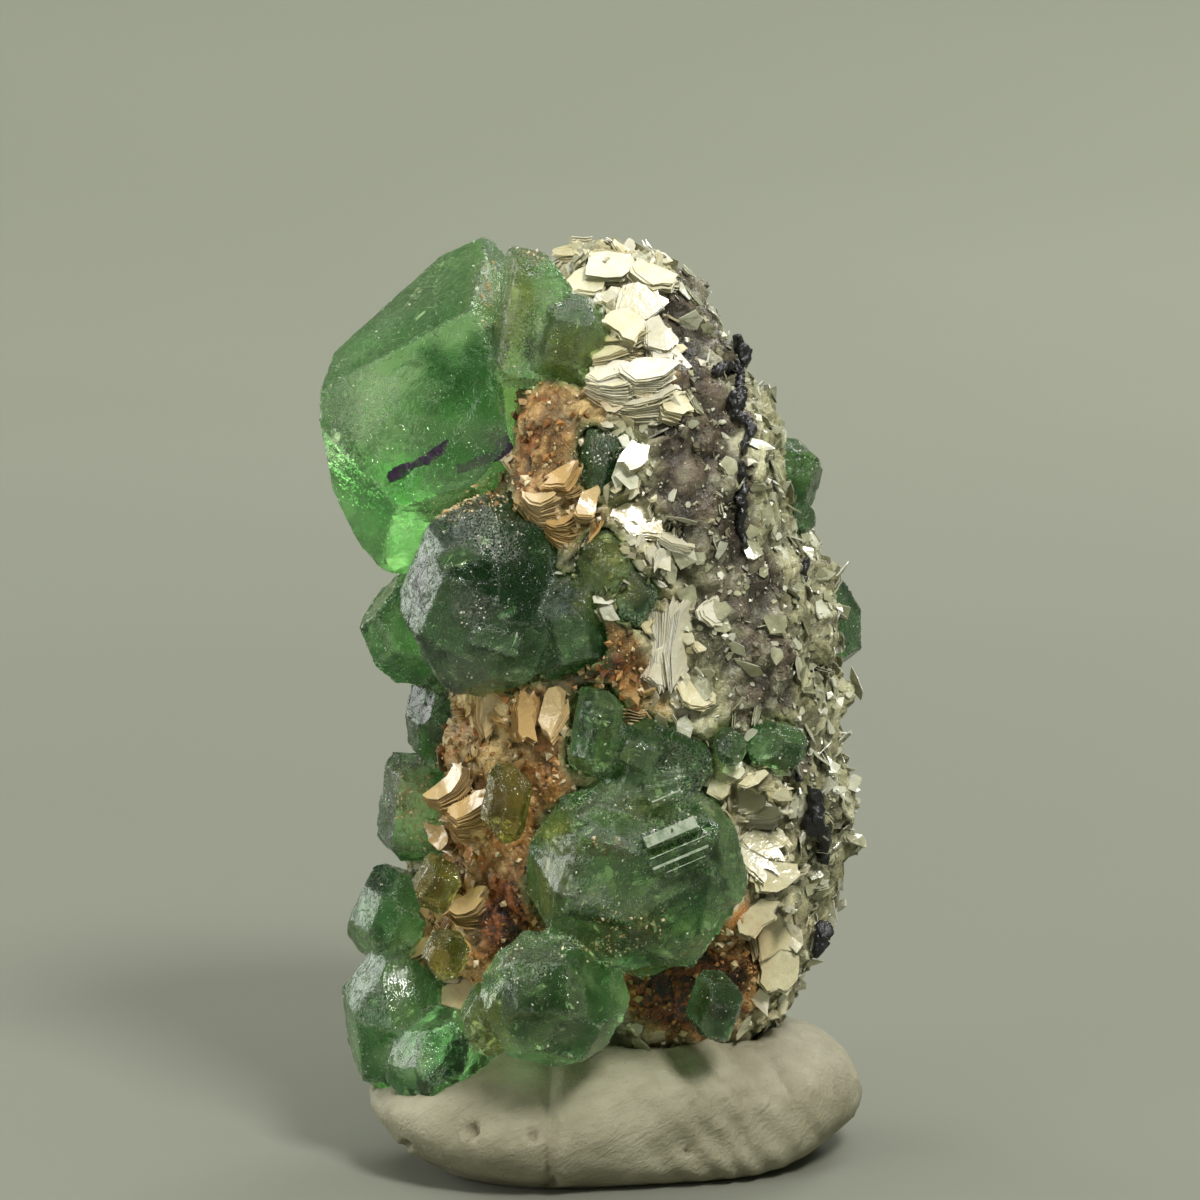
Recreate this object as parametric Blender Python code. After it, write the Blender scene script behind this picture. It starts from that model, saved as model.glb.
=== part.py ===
"""Phantom fluorite with schorl: green fluorite crystals, mica books and black schorl on a lumpy
matrix of mica and feldspar, held upright by a lump of grey-white mounting putty.

Metres, +Z up. The origin lies on the putty's flat underside. The front, towards -Y, is the side
that the photograph shows. Places on it are given in mm as the photograph shows them: across to the
right and up from the picture's centre, and the depth behind the plane through that centre.
"""

import math
import random
from dataclasses import dataclass

import bmesh
import bpy
from mathutils import Euler, Matrix, Vector, noise
from mathutils.bvhtree import BVHTree

MM = 0.001

# The photograph's view, in which the places below are measured.
VIEW_ELEVATION = math.radians(10)
VIEW_DISTANCE = 280 * MM
VIEW_CENTRE = Vector((0, 0, 22 * MM))
VIEW_RIGHT = Vector((1, 0, 0))
VIEW_UP = Vector((0, math.sin(VIEW_ELEVATION), math.cos(VIEW_ELEVATION)))
VIEW_FORWARD = Vector((0, math.cos(VIEW_ELEVATION), -math.sin(VIEW_ELEVATION)))

# Every crystal sits in its seat with this much room round it.
CLEARANCE = 0.06 * MM

# The matrix is a leaning column. Each level is its height, then its left, right, front and back, in mm.
MATRIX_LEVELS = (
    (2.6, -5.5, 8.0, -3.6, 6.0),
    (6.4, -7.2, 8.9, -5.0, 7.4),
    (10.3, -7.4, 9.3, -5.6, 8.2),
    (14.2, -6.3, 9.5, -5.8, 8.6),
    (18.1, -5.9, 9.4, -5.9, 8.9),
    (22.0, -5.6, 8.7, -6.3, 9.0),
    (25.9, -4.8, 7.6, -6.3, 9.0),
    (29.8, -4.3, 6.6, -5.8, 8.8),
    (33.7, -3.8, 5.4, -4.4, 8.0),
    (35.6, -2.8, 3.2, -2.4, 6.5),
)
MATRIX_FACES = 1400

# The matrix's lumps: how far they stand out and how far apart they are, in mm.
LUMPS = (1.2, 3.1)
GRAINS = (0.5, 1.4)

# Mica plates that the matrix is full of: how many, between which bearings from the front, and heights in mm.
PLATES = 22
PLATE_SECTOR = (35, 250)
PLATE_HEIGHTS = (9, 33)

# The putty is a pressed roll, turned from the picture's plane so that its right end lies further back.
PUTTY_LENGTH = 19.6
PUTTY_WIDTH = 13.4
PUTTY_HEIGHT = 5.6
PUTTY_TURN = math.radians(24)
PUTTY_ACROSS = 0.5
PUTTY_FACES = 520
FOOT_DRIFT = 0.05 * MM

# Fluorite's faces, as normals: those of the cube, the octahedron and the dodecahedron.
CUBE = [Vector(v) for v in ((1, 0, 0), (0, 1, 0), (0, 0, 1))]
OCTAHEDRON = [Vector((1, y, z)).normalized() for y in (-1, 1) for z in (-1, 1)]
DODECAHEDRON = [
    Vector(v).normalized()
    for v in ((1, 1, 0), (1, -1, 0), (1, 0, 1), (1, 0, -1), (0, 1, 1), (0, 1, -1))
]

# A habit says how far out the faces of each form lie, as shares of a crystal's half sizes. A form
# that stays well outside the others isn't there.
ABSENT = 1.5
FULL = (0.97, 0.95, 0.94)
ROUNDED = (0.95, ABSENT, 0.93)
OCTAHEDRAL = (0.96, 0.84, ABSENT)
BLOCKY = (0.86, ABSENT, 1.00)

MATERIALS = {
    "fluorite_green": ((0.08, 0.32, 0.12, 1), 0.25),
    "fluorite_frosted": ((0.22, 0.31, 0.20, 1), 0.45),
    "fluorite_olive": ((0.15, 0.16, 0.05, 1), 0.30),
    "matrix": ((0.44, 0.33, 0.18, 1), 0.85),
    "mica": ((0.66, 0.63, 0.48, 1), 0.35),
    "schorl": ((0.010, 0.010, 0.013, 1), 0.35),
    "putty": ((0.56, 0.54, 0.44, 1), 0.80),
}


@dataclass
class Crystal:
    """One fluorite crystal: its centre, its half sizes across, deep and high, its turn and its habit."""

    across: float
    up: float
    depth: float
    half: tuple
    turn: tuple
    habit: tuple

    def faces(self):
        """Each face's outward normal and its distance from the centre, all a little uneven."""
        draw = random.Random(f"{self.across} {self.up}")
        half = Vector(self.half) * MM
        turn = Euler([math.radians(angle) for angle in self.turn]).to_matrix()
        for form, share in zip((CUBE, OCTAHEDRON, DODECAHEDRON), self.habit):
            for face in form:
                for side in (-1, 1):
                    normal = turn @ face * side
                    reach = Vector(h * n for h, n in zip(half, normal)).length
                    yield normal, reach * share * draw.uniform(0.94, 1.04)


@dataclass
class CutCrystal:
    """A fluorite crystal whose faces are given one by one, as the photograph shows them.

    A cut is the face's normal, to the right, up and towards the viewer, and its distance in mm.
    """

    across: float
    up: float
    depth: float
    cuts: tuple

    def faces(self):
        for normal, distance in self.cuts:
            yield from_view(normal), distance * MM


@dataclass
class Book:
    """A book of mica sheets: its place, half sizes along the sheets, thickness, facing, spin and steps."""

    across: float
    up: float
    half: tuple
    thickness: float
    facing: tuple
    spin: float
    steps: int


@dataclass
class Prism:
    """A schorl prism that lies on the matrix from one place to another."""

    start: tuple
    end: tuple
    radius: float


LARGE_CRYSTAL = CutCrystal(
    across=-6.4,
    up=7.7,
    depth=0.6,
    cuts=(
        ((-0.20, 0.06, 1.00), 4.05),
        ((-0.48, 0.75, 0.45), 3.70),
        ((-0.80, 0.70, -0.30), 3.60),
        ((-0.40, 0.95, -0.20), 5.10),
        ((0.80, 0.55, 0.20), 4.95),
        ((0.75, 0.45, 0.45), 4.60),
        ((0.85, 0.12, 0.50), 4.70),
        ((0.60, -0.60, 0.50), 5.40),
        ((0.15, -0.85, 0.50), 5.45),
        ((-0.65, -0.50, 0.45), 5.15),
        ((-0.97, 0.00, -0.20), 3.50),
        ((-0.90, -0.25, -0.35), 3.90),
        ((-0.75, -0.60, -0.28), 5.35),
        ((-0.30, -0.90, -0.30), 6.60),
        ((1.00, 0.00, 0.00), 4.40),
        ((-0.45, -0.40, -0.85), 4.40),
        ((0.05, 0.45, -0.95), 4.30),
        ((0.00, 0.00, -1.00), 4.10),
    ),
)

# Crystals that have grown into each other are one piece.
FLUORITES = {
    "fluorite_large": (
        "fluorite_green",
        LARGE_CRYSTAL,
        Crystal(-2.7, 10.8, -4.1, (1.30, 1.6, 3.0), (4, 10, 14), BLOCKY),
        Crystal(-1.15, 9.9, -4.2, (1.50, 1.8, 2.1), (-6, 14, -12), ROUNDED),
    ),
    "fluorite_middle": (
        "fluorite_frosted",
        Crystal(-4.3, 0.1, -4.3, (3.1, 3.1, 3.9), (24, 12, 30), FULL),
        Crystal(-1.2, -0.6, -4.6, (1.9, 2.4, 2.6), (12, 30, 8), OCTAHEDRAL),
        Crystal(0.2, 1.3, -6.0, (1.05, 0.9, 1.35), (20, 24, 12), ROUNDED),
        Crystal(1.2, 0.1, -5.7, (0.85, 0.9, 1.1), (8, 34, 30), BLOCKY),
    ),
    "fluorite_left_column": (
        "fluorite_green",
        Crystal(-7.2, -1.1, 0.4, (1.9, 1.9, 2.2), (14, -8, 38), OCTAHEDRAL),
        Crystal(-6.0, -4.6, 1.6, (1.35, 1.7, 1.9), (20, -14, 22), ROUNDED),
        Crystal(-6.9, -8.0, 2.2, (1.55, 2.0, 2.3), (4, 6, 18), BLOCKY),
    ),
    "fluorite_lower_left": (
        "fluorite_green",
        Crystal(-7.9, -12.2, 2.4, (1.6, 2.0, 2.0), (10, 20, 36), ROUNDED),
        Crystal(-7.7, -16.0, 2.0, (2.0, 2.5, 3.1), (18, -10, 14), FULL),
        Crystal(-6.0, -17.6, 0.2, (2.3, 2.3, 1.9), (-8, 24, 40), ROUNDED),
    ),
    "fluorite_olive_upper": (
        "fluorite_olive",
        Crystal(-3.6, -7.8, -5.0, (0.8, 1.0, 1.6), (8, 8, 24), ROUNDED),
    ),
    "fluorite_olive_left": (
        "fluorite_olive",
        Crystal(-6.3, -10.9, -2.6, (0.85, 1.0, 1.1), (8, 30, 12), BLOCKY),
    ),
    "fluorite_olive_lower": (
        "fluorite_olive",
        Crystal(-5.9, -13.6, -3.6, (0.85, 0.9, 1.0), (22, 12, 30), ROUNDED),
    ),
    "fluorite_front": (
        "fluorite_green",
        Crystal(1.1, -10.6, -4.4, (3.7, 3.2, 3.9), (24, 14, -20), FULL),
        Crystal(3.2, -9.9, -5.0, (2.3, 2.4, 2.3), (14, -16, 12), BLOCKY),
        Crystal(1.95, -6.4, -4.3, (2.1, 1.9, 2.0), (8, 24, 32), BLOCKY),
        Crystal(-0.2, -5.1, -5.0, (0.85, 1.1, 1.9), (4, 10, 44), BLOCKY),
        Crystal(-1.7, -15.3, -4.6, (2.7, 2.4, 2.7), (26, 18, 24), FULL),
        Crystal(-4.3, -16.1, -3.6, (1.0, 1.3, 1.4), (10, 28, 10), ROUNDED),
    ),
    "fluorite_small_green": (
        "fluorite_green",
        Crystal(0.3, 5.2, -5.8, (1.0, 1.0, 1.5), (10, 6, 28), BLOCKY),
    ),
    "fluorite_right_upper": (
        "fluorite_green",
        Crystal(7.0, 4.7, 1.2, (1.4, 1.7, 1.6), (12, 10, 26), ROUNDED),
        Crystal(7.3, 3.1, 1.0, (1.0, 1.2, 0.9), (24, 4, 10), OCTAHEDRAL),
    ),
    "fluorite_right_edge": (
        "fluorite_green",
        Crystal(8.3, -1.0, 4.4, (1.7, 2.1, 2.1), (16, 12, 20), OCTAHEDRAL),
    ),
    "fluorite_right_foot": (
        "fluorite_green",
        Crystal(4.4, -15.6, -3.4, (0.9, 1.2, 1.4), (20, 10, 34), BLOCKY),
    ),
    "fluorite_among_mica_left": (
        "fluorite_olive",
        Crystal(5.0, -5.6, -5.1, (0.6, 0.8, 0.7), (10, 30, 18), ROUNDED),
    ),
    "fluorite_among_mica_right": (
        "fluorite_olive",
        Crystal(6.8, -5.6, -4.2, (1.2, 0.9, 0.9), (6, 16, 28), ROUNDED),
    ),
    "fluorite_back_left_upper": (
        "fluorite_green",
        Crystal(-4.4, 6.0, 7.3, (2.9, 2.5, 3.4), (22, -18, 34), OCTAHEDRAL),
    ),
    "fluorite_back_left_middle": (
        "fluorite_green",
        Crystal(-5.9, -1.9, 6.2, (2.0, 2.2, 2.3), (10, 26, 12), ROUNDED),
        Crystal(-5.1, -4.6, 7.0, (1.7, 1.9, 1.9), (28, 8, 40), BLOCKY),
    ),
    "fluorite_back_lower": (
        "fluorite_green",
        Crystal(-5.6, -12.9, 7.0, (2.5, 2.6, 2.8), (16, 20, 22), OCTAHEDRAL),
        Crystal(-1.4, -11.9, 8.6, (2.8, 2.3, 2.9), (26, 22, 14), ROUNDED),
        Crystal(1.5, -13.4, 8.0, (1.6, 1.7, 1.7), (8, 12, 34), BLOCKY),
    ),
    "fluorite_back_upper": (
        "fluorite_green",
        Crystal(1.0, 5.4, 9.2, (2.9, 2.3, 2.7), (30, 14, 18), ROUNDED),
        Crystal(3.3, 7.2, 8.2, (1.7, 1.7, 1.8), (14, 34, 30), BLOCKY),
    ),
    "fluorite_back_middle": (
        "fluorite_green",
        Crystal(2.8, -4.0, 9.0, (2.5, 2.1, 2.6), (18, 8, 36), OCTAHEDRAL),
    ),
}

BOOKS = {
    "mica_silver": Book(1.55, 2.9, (1.35, 0.85), 0.6, (0.25, 0.35, 0.9), -24, 2),
    "mica_crown_left": Book(-0.5, 12.2, (1.25, 0.85), 0.6, (-0.1, 0.6, 0.8), 12, 2),
    "mica_crown_right": Book(1.5, 11.3, (1.35, 0.95), 0.7, (0.35, 0.5, 0.8), 34, 2),
    "mica_upper_fold": Book(1.1, 9.6, (1.5, 0.7), 1.0, (0.15, 0.85, 0.5), -14, 3),
    "mica_centre_fold": Book(1.6, 7.1, (1.45, 0.65), 0.9, (0.05, 0.85, 0.55), -10, 3),
    "mica_upright": Book(2.5, -1.7, (0.75, 2.1), 0.9, (0.75, 0.05, 0.65), 6, 3),
    "mica_fan_upper": Book(6.1, -7.8, (1.9, 1.0), 0.8, (0.25, 0.7, 0.65), 14, 3),
    "mica_fan_lower": Book(6.3, -9.7, (1.6, 1.3), 0.8, (0.45, 0.15, 0.9), 40, 2),
    "mica_left_foot": Book(-6.0, -15.9, (1.5, 0.95), 0.7, (-0.35, 0.35, 0.85), -30, 2),
    "mica_right_foot": Book(6.6, -13.0, (1.3, 1.8), 0.9, (0.55, 0.1, 0.8), 10, 2),
}

SCHORLS = {
    "schorl_spray": (
        Prism((4.95, 9.55), (5.35, 6.9), 0.26),
        Prism((5.35, 9.15), (4.35, 8.35), 0.22),
        Prism((4.75, 8.2), (5.55, 5.7), 0.20),
    ),
    "schorl_fork": (
        Prism((5.55, 4.95), (5.15, 2.55), 0.20),
        Prism((5.05, 3.6), (5.75, 2.2), 0.17),
    ),
    "schorl_needle": (Prism((7.78, 0.75), (7.42, -0.3), 0.12),),
    "schorl_upper_chunk": (
        Prism((7.85, -7.2), (8.15, -8.9), 0.32),
        Prism((8.35, -7.9), (7.75, -8.8), 0.22),
    ),
    "schorl_middle_chunk": (Prism((8.1, -9.3), (8.45, -10.4), 0.27),),
    "schorl_lower_chunk": (
        Prism((8.2, -12.7), (8.35, -13.7), 0.36),
        Prism((8.6, -12.5), (8.2, -13.2), 0.20),
    ),
}

# Each prism lies sunk in the matrix by this share of its radius.
SCHORL_SINK = 0.25


def seen_at(across, up, depth):
    """The point that the photograph shows there, at this depth behind the plane through its centre."""
    spread = 1 + depth * MM / VIEW_DISTANCE
    in_plane = (VIEW_RIGHT * across + VIEW_UP * up) * MM * spread
    return VIEW_CENTRE + in_plane + VIEW_FORWARD * depth * MM


def from_view(direction):
    """A direction given to the right, up and towards the viewer, in the part's own axes."""
    right, up, towards = direction
    return (VIEW_RIGHT * right + VIEW_UP * up - VIEW_FORWARD * towards).normalized()


def clear_scene():
    for thing in list(bpy.data.objects):
        bpy.data.objects.remove(thing)


def new_collection(name, helper=False):
    made = bpy.data.collections.new(name)
    bpy.context.scene.collection.children.link(made)
    made.hide_render = helper
    return made


def new_material(name, colour, roughness):
    made = bpy.data.materials.new(name)
    made.use_nodes = True
    shader = made.node_tree.nodes["Principled BSDF"]
    shader.inputs["Base Color"].default_value = colour
    shader.inputs["Roughness"].default_value = roughness
    made.diffuse_color = colour
    return made


def middle_of(points):
    """The middle of the box round some points."""
    points = list(points)
    low = [min(p[i] for p in points) for i in range(3)]
    high = [max(p[i] for p in points) for i in range(3)]
    return (Vector(low) + Vector(high)) / 2


def new_object(name, bm, collection, material=None):
    """An object with the shape bm, placed at its middle. One without a material only helps to cut."""
    middle = middle_of(v.co for v in bm.verts)
    bmesh.ops.translate(bm, verts=bm.verts, vec=-middle)
    bmesh.ops.recalc_face_normals(bm, faces=bm.faces)
    mesh = bpy.data.meshes.new(name)
    bm.to_mesh(mesh)
    bm.free()
    made = bpy.data.objects.new(name, mesh)
    made.location = middle
    collection.objects.link(made)
    if material:
        mesh.materials.append(material)
    else:
        made.hide_render = True
        made.display_type = "WIRE"
    return made


def add_boolean(target, operation, other):
    """A Boolean with one object, or with all the objects of a collection."""
    modifier = target.modifiers.new(operation.title(), "BOOLEAN")
    modifier.operation = operation
    if isinstance(other, bpy.types.Collection):
        modifier.operand_type = "COLLECTION"
        modifier.collection = other
    else:
        modifier.object = other


def island_of(vertex):
    """All the vertices that edges join to this one."""
    island = {vertex}
    rim = [vertex]
    while rim:
        here = rim.pop()
        for edge in here.link_edges:
            other = edge.other_vert(here)
            if other not in island:
                island.add(other)
                rim.append(other)
    return island


def keep_largest_island(bm):
    """Deletes the loose chips that a cut leaves, so that one body stays."""
    unseen = set(bm.verts)
    islands = []
    while unseen:
        island = island_of(next(iter(unseen)))
        unseen -= island
        islands.append(island)
    body = max(islands, key=len)
    chips = [vertex for vertex in bm.verts if vertex not in body]
    bmesh.ops.delete(bm, geom=chips, context="VERTS")


def apply_modifiers(thing):
    """Makes the object's modifiers part of its mesh, and keeps its largest body."""
    graph = bpy.context.evaluated_depsgraph_get()
    mesh = bpy.data.meshes.new_from_object(thing.evaluated_get(graph))
    bm = bmesh.new()
    bm.from_mesh(mesh)
    keep_largest_island(bm)
    bm.to_mesh(mesh)
    bm.free()
    thing.modifiers.clear()
    thing.data = mesh


def cut_faces(bm, planes):
    """Cuts the convex solid bm by each plane, given as a point and an outward normal."""
    for point, normal in planes:
        everything = bm.verts[:] + bm.edges[:] + bm.faces[:]
        cut = bmesh.ops.bisect_plane(
            bm, geom=everything, dist=1e-8, plane_co=point, plane_no=normal, clear_outer=True
        )
        rim = [item for item in cut["geom_cut"] if isinstance(item, bmesh.types.BMEdge)]
        if rim:
            bmesh.ops.edgeloop_fill(bm, edges=rim)


def faceted(centre, faces, reach):
    """A block cut by faces, each given as an outward normal and a distance from the centre."""
    bm = bmesh.new()
    bmesh.ops.create_cube(bm, size=4 * reach)
    bmesh.ops.translate(bm, verts=bm.verts, vec=centre)
    cut_faces(bm, [(centre + normal * distance, normal) for normal, distance in faces])
    return bm


def crystal_shape(crystal, grow=0.0):
    """The crystal's faceted solid, with every face moved outwards by grow."""
    centre = seen_at(crystal.across, crystal.up, crystal.depth)
    faces = [(normal, distance + grow) for normal, distance in crystal.faces()]
    return faceted(centre, faces, max(distance for _, distance in faces))


def between_levels(height):
    """The matrix's left, right, front and back at this height, in mm."""
    below = MATRIX_LEVELS[0]
    for above in MATRIX_LEVELS[1:]:
        if height <= above[0]:
            share = max(0.0, (height - below[0]) / (above[0] - below[0]))
            return [a + (b - a) * share for a, b in zip(below[1:], above[1:])]
        below = above
    return MATRIX_LEVELS[-1][1:]


def lump_at(point, size, spacing):
    """How far a rounded lump of this size and spacing stands out at the point, in mm."""
    distances, _ = noise.voronoi(point / (spacing * MM))
    return size * (0.55 - distances[0])


def matrix_point(direction):
    """Where this direction of a unit sphere meets the matrix's surface."""
    bottom = MATRIX_LEVELS[0][0]
    top = MATRIX_LEVELS[-1][0]
    rise = math.copysign(abs(direction.z) ** 1.15, direction.z)
    height = bottom + (top - bottom) * (rise + 1) / 2
    left, right, front, back = between_levels(height)
    narrowing = math.sqrt(max(0.0, 1 - abs(direction.z) ** 5))
    flat = Vector((direction.x, direction.y))
    flat = flat.normalized() if flat.length > 1e-6 else Vector((1, 0))
    boxy = [math.copysign(abs(part) ** 0.85, part) * narrowing for part in flat]
    x = (left + right) / 2 + (right - left) / 2 * boxy[0]
    y = (front + back) / 2 + (back - front) / 2 * boxy[1]
    point = Vector((x, y, height)) * MM
    outward = Vector((boxy[0], boxy[1], direction.z * 0.6)).normalized()
    return point + outward * (lump_at(point, *LUMPS) + lump_at(point, *GRAINS)) * MM


def matrix_shape():
    bm = bmesh.new()
    bmesh.ops.create_icosphere(bm, subdivisions=5, radius=1)
    for vertex in bm.verts:
        vertex.co = matrix_point(vertex.co.normalized())
    return bm


def extrude_face(bm, face):
    """Draws side faces up from the face's rim, and returns the face that closes them at the top."""
    is_underside = all(len(edge.link_faces) == 1 for edge in face.edges)
    grown = bmesh.ops.extrude_face_region(bm, geom=[face])["geom"]
    if not is_underside:
        bmesh.ops.delete(bm, geom=[face], context="FACES_ONLY")
    return next(item for item in grown if isinstance(item, bmesh.types.BMFace))


def book_shape(centre, normal, book, grow=0.0):
    """A six-sided plate that steps in and out where its sheets end."""
    draw = random.Random(f"{book.across} {book.up}")
    thickness = book.thickness + 2 * grow
    bm = bmesh.new()
    bmesh.ops.create_circle(bm, segments=6, radius=1, cap_ends=True)
    for vertex in bm.verts:
        vertex.co *= draw.uniform(0.85, 1.08)
    top = bm.faces[:][0]
    for step in range(book.steps):
        if step:
            top = extrude_face(bm, top)
            wider = step <= book.steps / 2
            change = draw.uniform(1.08, 1.14) if wider else draw.uniform(0.80, 0.90)
            middle = top.calc_center_median()
            for vertex in top.verts:
                vertex.co = middle + (vertex.co - middle) * change
        top = extrude_face(bm, top)
        for vertex in top.verts:
            vertex.co.z += thickness / book.steps
    place = Matrix.Translation(centre)
    place @= normal.to_track_quat("Z", "Y").to_matrix().to_4x4()
    place @= Matrix.Rotation(math.radians(book.spin), 4, "Z")
    place @= Matrix.Diagonal([(half + grow) * MM for half in book.half] + [MM, 1])
    place @= Matrix.Translation((0, 0, -thickness / 2))
    bmesh.ops.transform(bm, matrix=place, verts=bm.verts)
    return bm


def hull_of(bm):
    """The convex hull of a shape, which is used up."""
    hull = bmesh.new()
    for vertex in bm.verts:
        hull.verts.new(vertex.co)
    bm.free()
    made = bmesh.ops.convex_hull(hull, input=hull.verts)
    inside = [item for item in made["geom_interior"] if isinstance(item, bmesh.types.BMVert)]
    bmesh.ops.delete(hull, geom=inside, context="VERTS")
    return hull


def prism_shape(start, end, radius):
    """A three-sided prism with blunted edges, as schorl grows."""
    bm = bmesh.new()
    bmesh.ops.create_cone(
        bm,
        cap_ends=True,
        segments=6,
        radius1=radius,
        radius2=radius * 0.9,
        depth=(end - start).length,
    )
    for vertex in bm.verts:
        vertex.co.xy *= 1 + 0.12 * math.cos(3 * math.atan2(vertex.co.y, vertex.co.x))
    place = Matrix.Translation((start + end) / 2)
    place @= (end - start).to_track_quat("Z", "Y").to_matrix().to_4x4()
    bmesh.ops.transform(bm, matrix=place, verts=bm.verts)
    return bm


def putty_point(direction):
    """Where this direction of a unit sphere meets the putty's surface."""
    blunt = sum(abs(part) ** 2.3 for part in direction) ** (1 / 2.3)
    x, y, z = direction / blunt
    taper = 1 + 0.10 * x
    bulge = 1 + 0.09 * noise.noise(Vector((x * 1.7, y * 1.7, z * 1.7 + 4)))
    point = Vector((x * PUTTY_LENGTH / 2, y * taper * PUTTY_WIDTH / 2, z * taper * PUTTY_HEIGHT * 0.56))
    point *= bulge
    point.rotate(Euler((0, 0, PUTTY_TURN)))
    return (point + Vector((PUTTY_ACROSS, 0, PUTTY_HEIGHT * 0.44))) * MM


def putty_shape():
    """A pressed roll with a flat underside at z = 0."""
    bm = bmesh.new()
    bmesh.ops.create_icosphere(bm, subdivisions=4, radius=1)
    for vertex in bm.verts:
        vertex.co = putty_point(vertex.co.normalized())
    cut_faces(bm, [(Vector((0, 0, 0)), Vector((0, 0, -1)))])
    return bm


def flatten_foot(thing):
    """Sets the vertices that have drifted off the table back onto it, so that the putty stands firmly."""
    for vertex in thing.data.vertices:
        if thing.location.z + vertex.co.z < FOOT_DRIFT:
            vertex.co.z = -thing.location.z


def simplify(thing, faces):
    modifier = thing.modifiers.new("Decimate", "DECIMATE")
    modifier.ratio = faces / len(thing.data.polygons)


def surface_of(thing):
    """A search tree of the object's surface, in the part's axes."""
    bm = bmesh.new()
    bm.from_mesh(thing.data)
    bmesh.ops.translate(bm, verts=bm.verts, vec=thing.location)
    tree = BVHTree.FromBMesh(bm)
    bm.free()
    return tree


def on_surface(surface, across, up):
    """Where the photograph's ray at this place first meets the surface."""
    camera = VIEW_CENTRE - VIEW_FORWARD * VIEW_DISTANCE
    ray = (seen_at(across, up, 0) - camera).normalized()
    point, _, _, _ = surface.ray_cast(camera, ray)
    if point is None:
        point, _, _, _ = surface.find_nearest(seen_at(across, up, 0))
    return point


def box_of(thing):
    """The least and greatest x, y and z of an object that isn't turned."""
    points = [thing.location + vertex.co for vertex in thing.data.vertices]
    return [(min(p[i] for p in points), max(p[i] for p in points)) for i in range(3)]


def boxes_meet(first, second):
    return all(a[0] <= b[1] and b[0] <= a[1] for a, b in zip(first, second))


class Specimen:
    """What is made so far: the pieces, and the seats that later pieces must keep clear of."""

    def __init__(self):
        self.parts = new_collection("phantom_fluorite_with_schorl")
        self.twins = new_collection("twins", helper=True)
        self.all_seats = new_collection("all_seats", helper=True)
        self.low_seats = new_collection("low_seats", helper=True)
        self.seats = []
        self.pieces = []
        self.materials = {
            name: new_material(name, colour, roughness)
            for name, (colour, roughness) in MATERIALS.items()
        }

    def add(self, name, material, shapes):
        """An object from shapes that are grown together."""
        piece = new_object(name, shapes[0], self.parts, self.materials[material])
        for number, shape in enumerate(shapes[1:]):
            twin = new_object(f"{name}_twin_{number}", shape, self.twins)
            add_boolean(piece, "UNION", twin)
        self.pieces.append(piece)
        return piece

    def add_seated(self, name, material, shapes, seat_shapes):
        """An object that is cut back from the seats before it, and leaves a seat of its own."""
        piece = self.add(name, material, shapes)
        seat = new_collection(f"seat_{name}", helper=True)
        cutters = [new_object(f"{name}_seat_{n}", s, seat) for n, s in enumerate(seat_shapes)]
        for other in self.seats:
            if any(boxes_meet(box_of(a), box_of(b)) for a in other.objects for b in cutters):
                add_boolean(piece, "DIFFERENCE", other)
        for cutter in cutters:
            self.all_seats.objects.link(cutter)
            if box_of(cutter)[2][0] < PUTTY_HEIGHT * MM:
                self.low_seats.objects.link(cutter)
        self.seats.append(seat)


def add_fluorites(specimen):
    for name, (material, *crystals) in FLUORITES.items():
        shapes = [crystal_shape(crystal) for crystal in crystals]
        seat_shapes = [crystal_shape(crystal, CLEARANCE) for crystal in crystals]
        specimen.add_seated(name, material, shapes, seat_shapes)


def add_books(specimen, surface):
    """Each book stands half out of the matrix."""
    for name, book in BOOKS.items():
        point = on_surface(surface, book.across, book.up)
        normal = from_view(book.facing)
        shape = book_shape(point, normal, book)
        seat = hull_of(book_shape(point, normal, book, 2 * CLEARANCE / MM))
        specimen.add_seated(name, "mica", [shape], [seat])


def add_schorls(specimen, surface):
    for name, prisms in SCHORLS.items():
        shapes = []
        seat_shapes = []
        for prism in prisms:
            radius = prism.radius * MM
            lift = -VIEW_FORWARD * radius * (1 - SCHORL_SINK)
            start, end = (on_surface(surface, *place) + lift for place in (prism.start, prism.end))
            spare = (end - start).normalized() * CLEARANCE
            shapes.append(prism_shape(start, end, radius))
            seat_shapes.append(prism_shape(start - spare, end + spare, radius + 1.2 * CLEARANCE))
        specimen.add_seated(name, "schorl", shapes, seat_shapes)


def plates_in_matrix(surface):
    """Mica plates of many sizes that have grown with the matrix, most on its right side and back."""
    draw = random.Random(7)
    plates = new_collection("plates", helper=True)
    for number in range(PLATES):
        bearing = math.radians(draw.uniform(*PLATE_SECTOR))
        outward = Vector((math.sin(bearing), -math.cos(bearing), 0))
        middle = Vector((1.2, 1.5, draw.uniform(*PLATE_HEIGHTS))) * MM
        point, normal, _, _ = surface.ray_cast(middle + outward * 30 * MM, -outward)
        tilt = Vector(draw.gauss(0, 0.45) for _ in range(3))
        book = Book(
            across=number,
            up=0,
            half=(draw.uniform(0.8, 1.7), draw.uniform(0.8, 1.7)),
            thickness=draw.uniform(0.5, 1.0),
            facing=tilt,
            spin=draw.uniform(0, 180),
            steps=1,
        )
        shape = book_shape(point - normal * 0.1 * MM, (normal + tilt).normalized(), book)
        new_object(f"plate_{number}", shape, plates)
    return plates


def mould_of(matrix):
    """A slightly swollen copy of the matrix, that leaves its print in the putty."""
    moulds = new_collection("moulds", helper=True)
    mould = bpy.data.objects.new("matrix_mould", matrix.data.copy())
    mould.location = matrix.location
    mould.hide_render = True
    mould.display_type = "WIRE"
    moulds.objects.link(mould)
    swell = mould.modifiers.new("Displace", "DISPLACE")
    swell.strength = 2 * CLEARANCE
    swell.mid_level = 0
    return moulds


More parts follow.
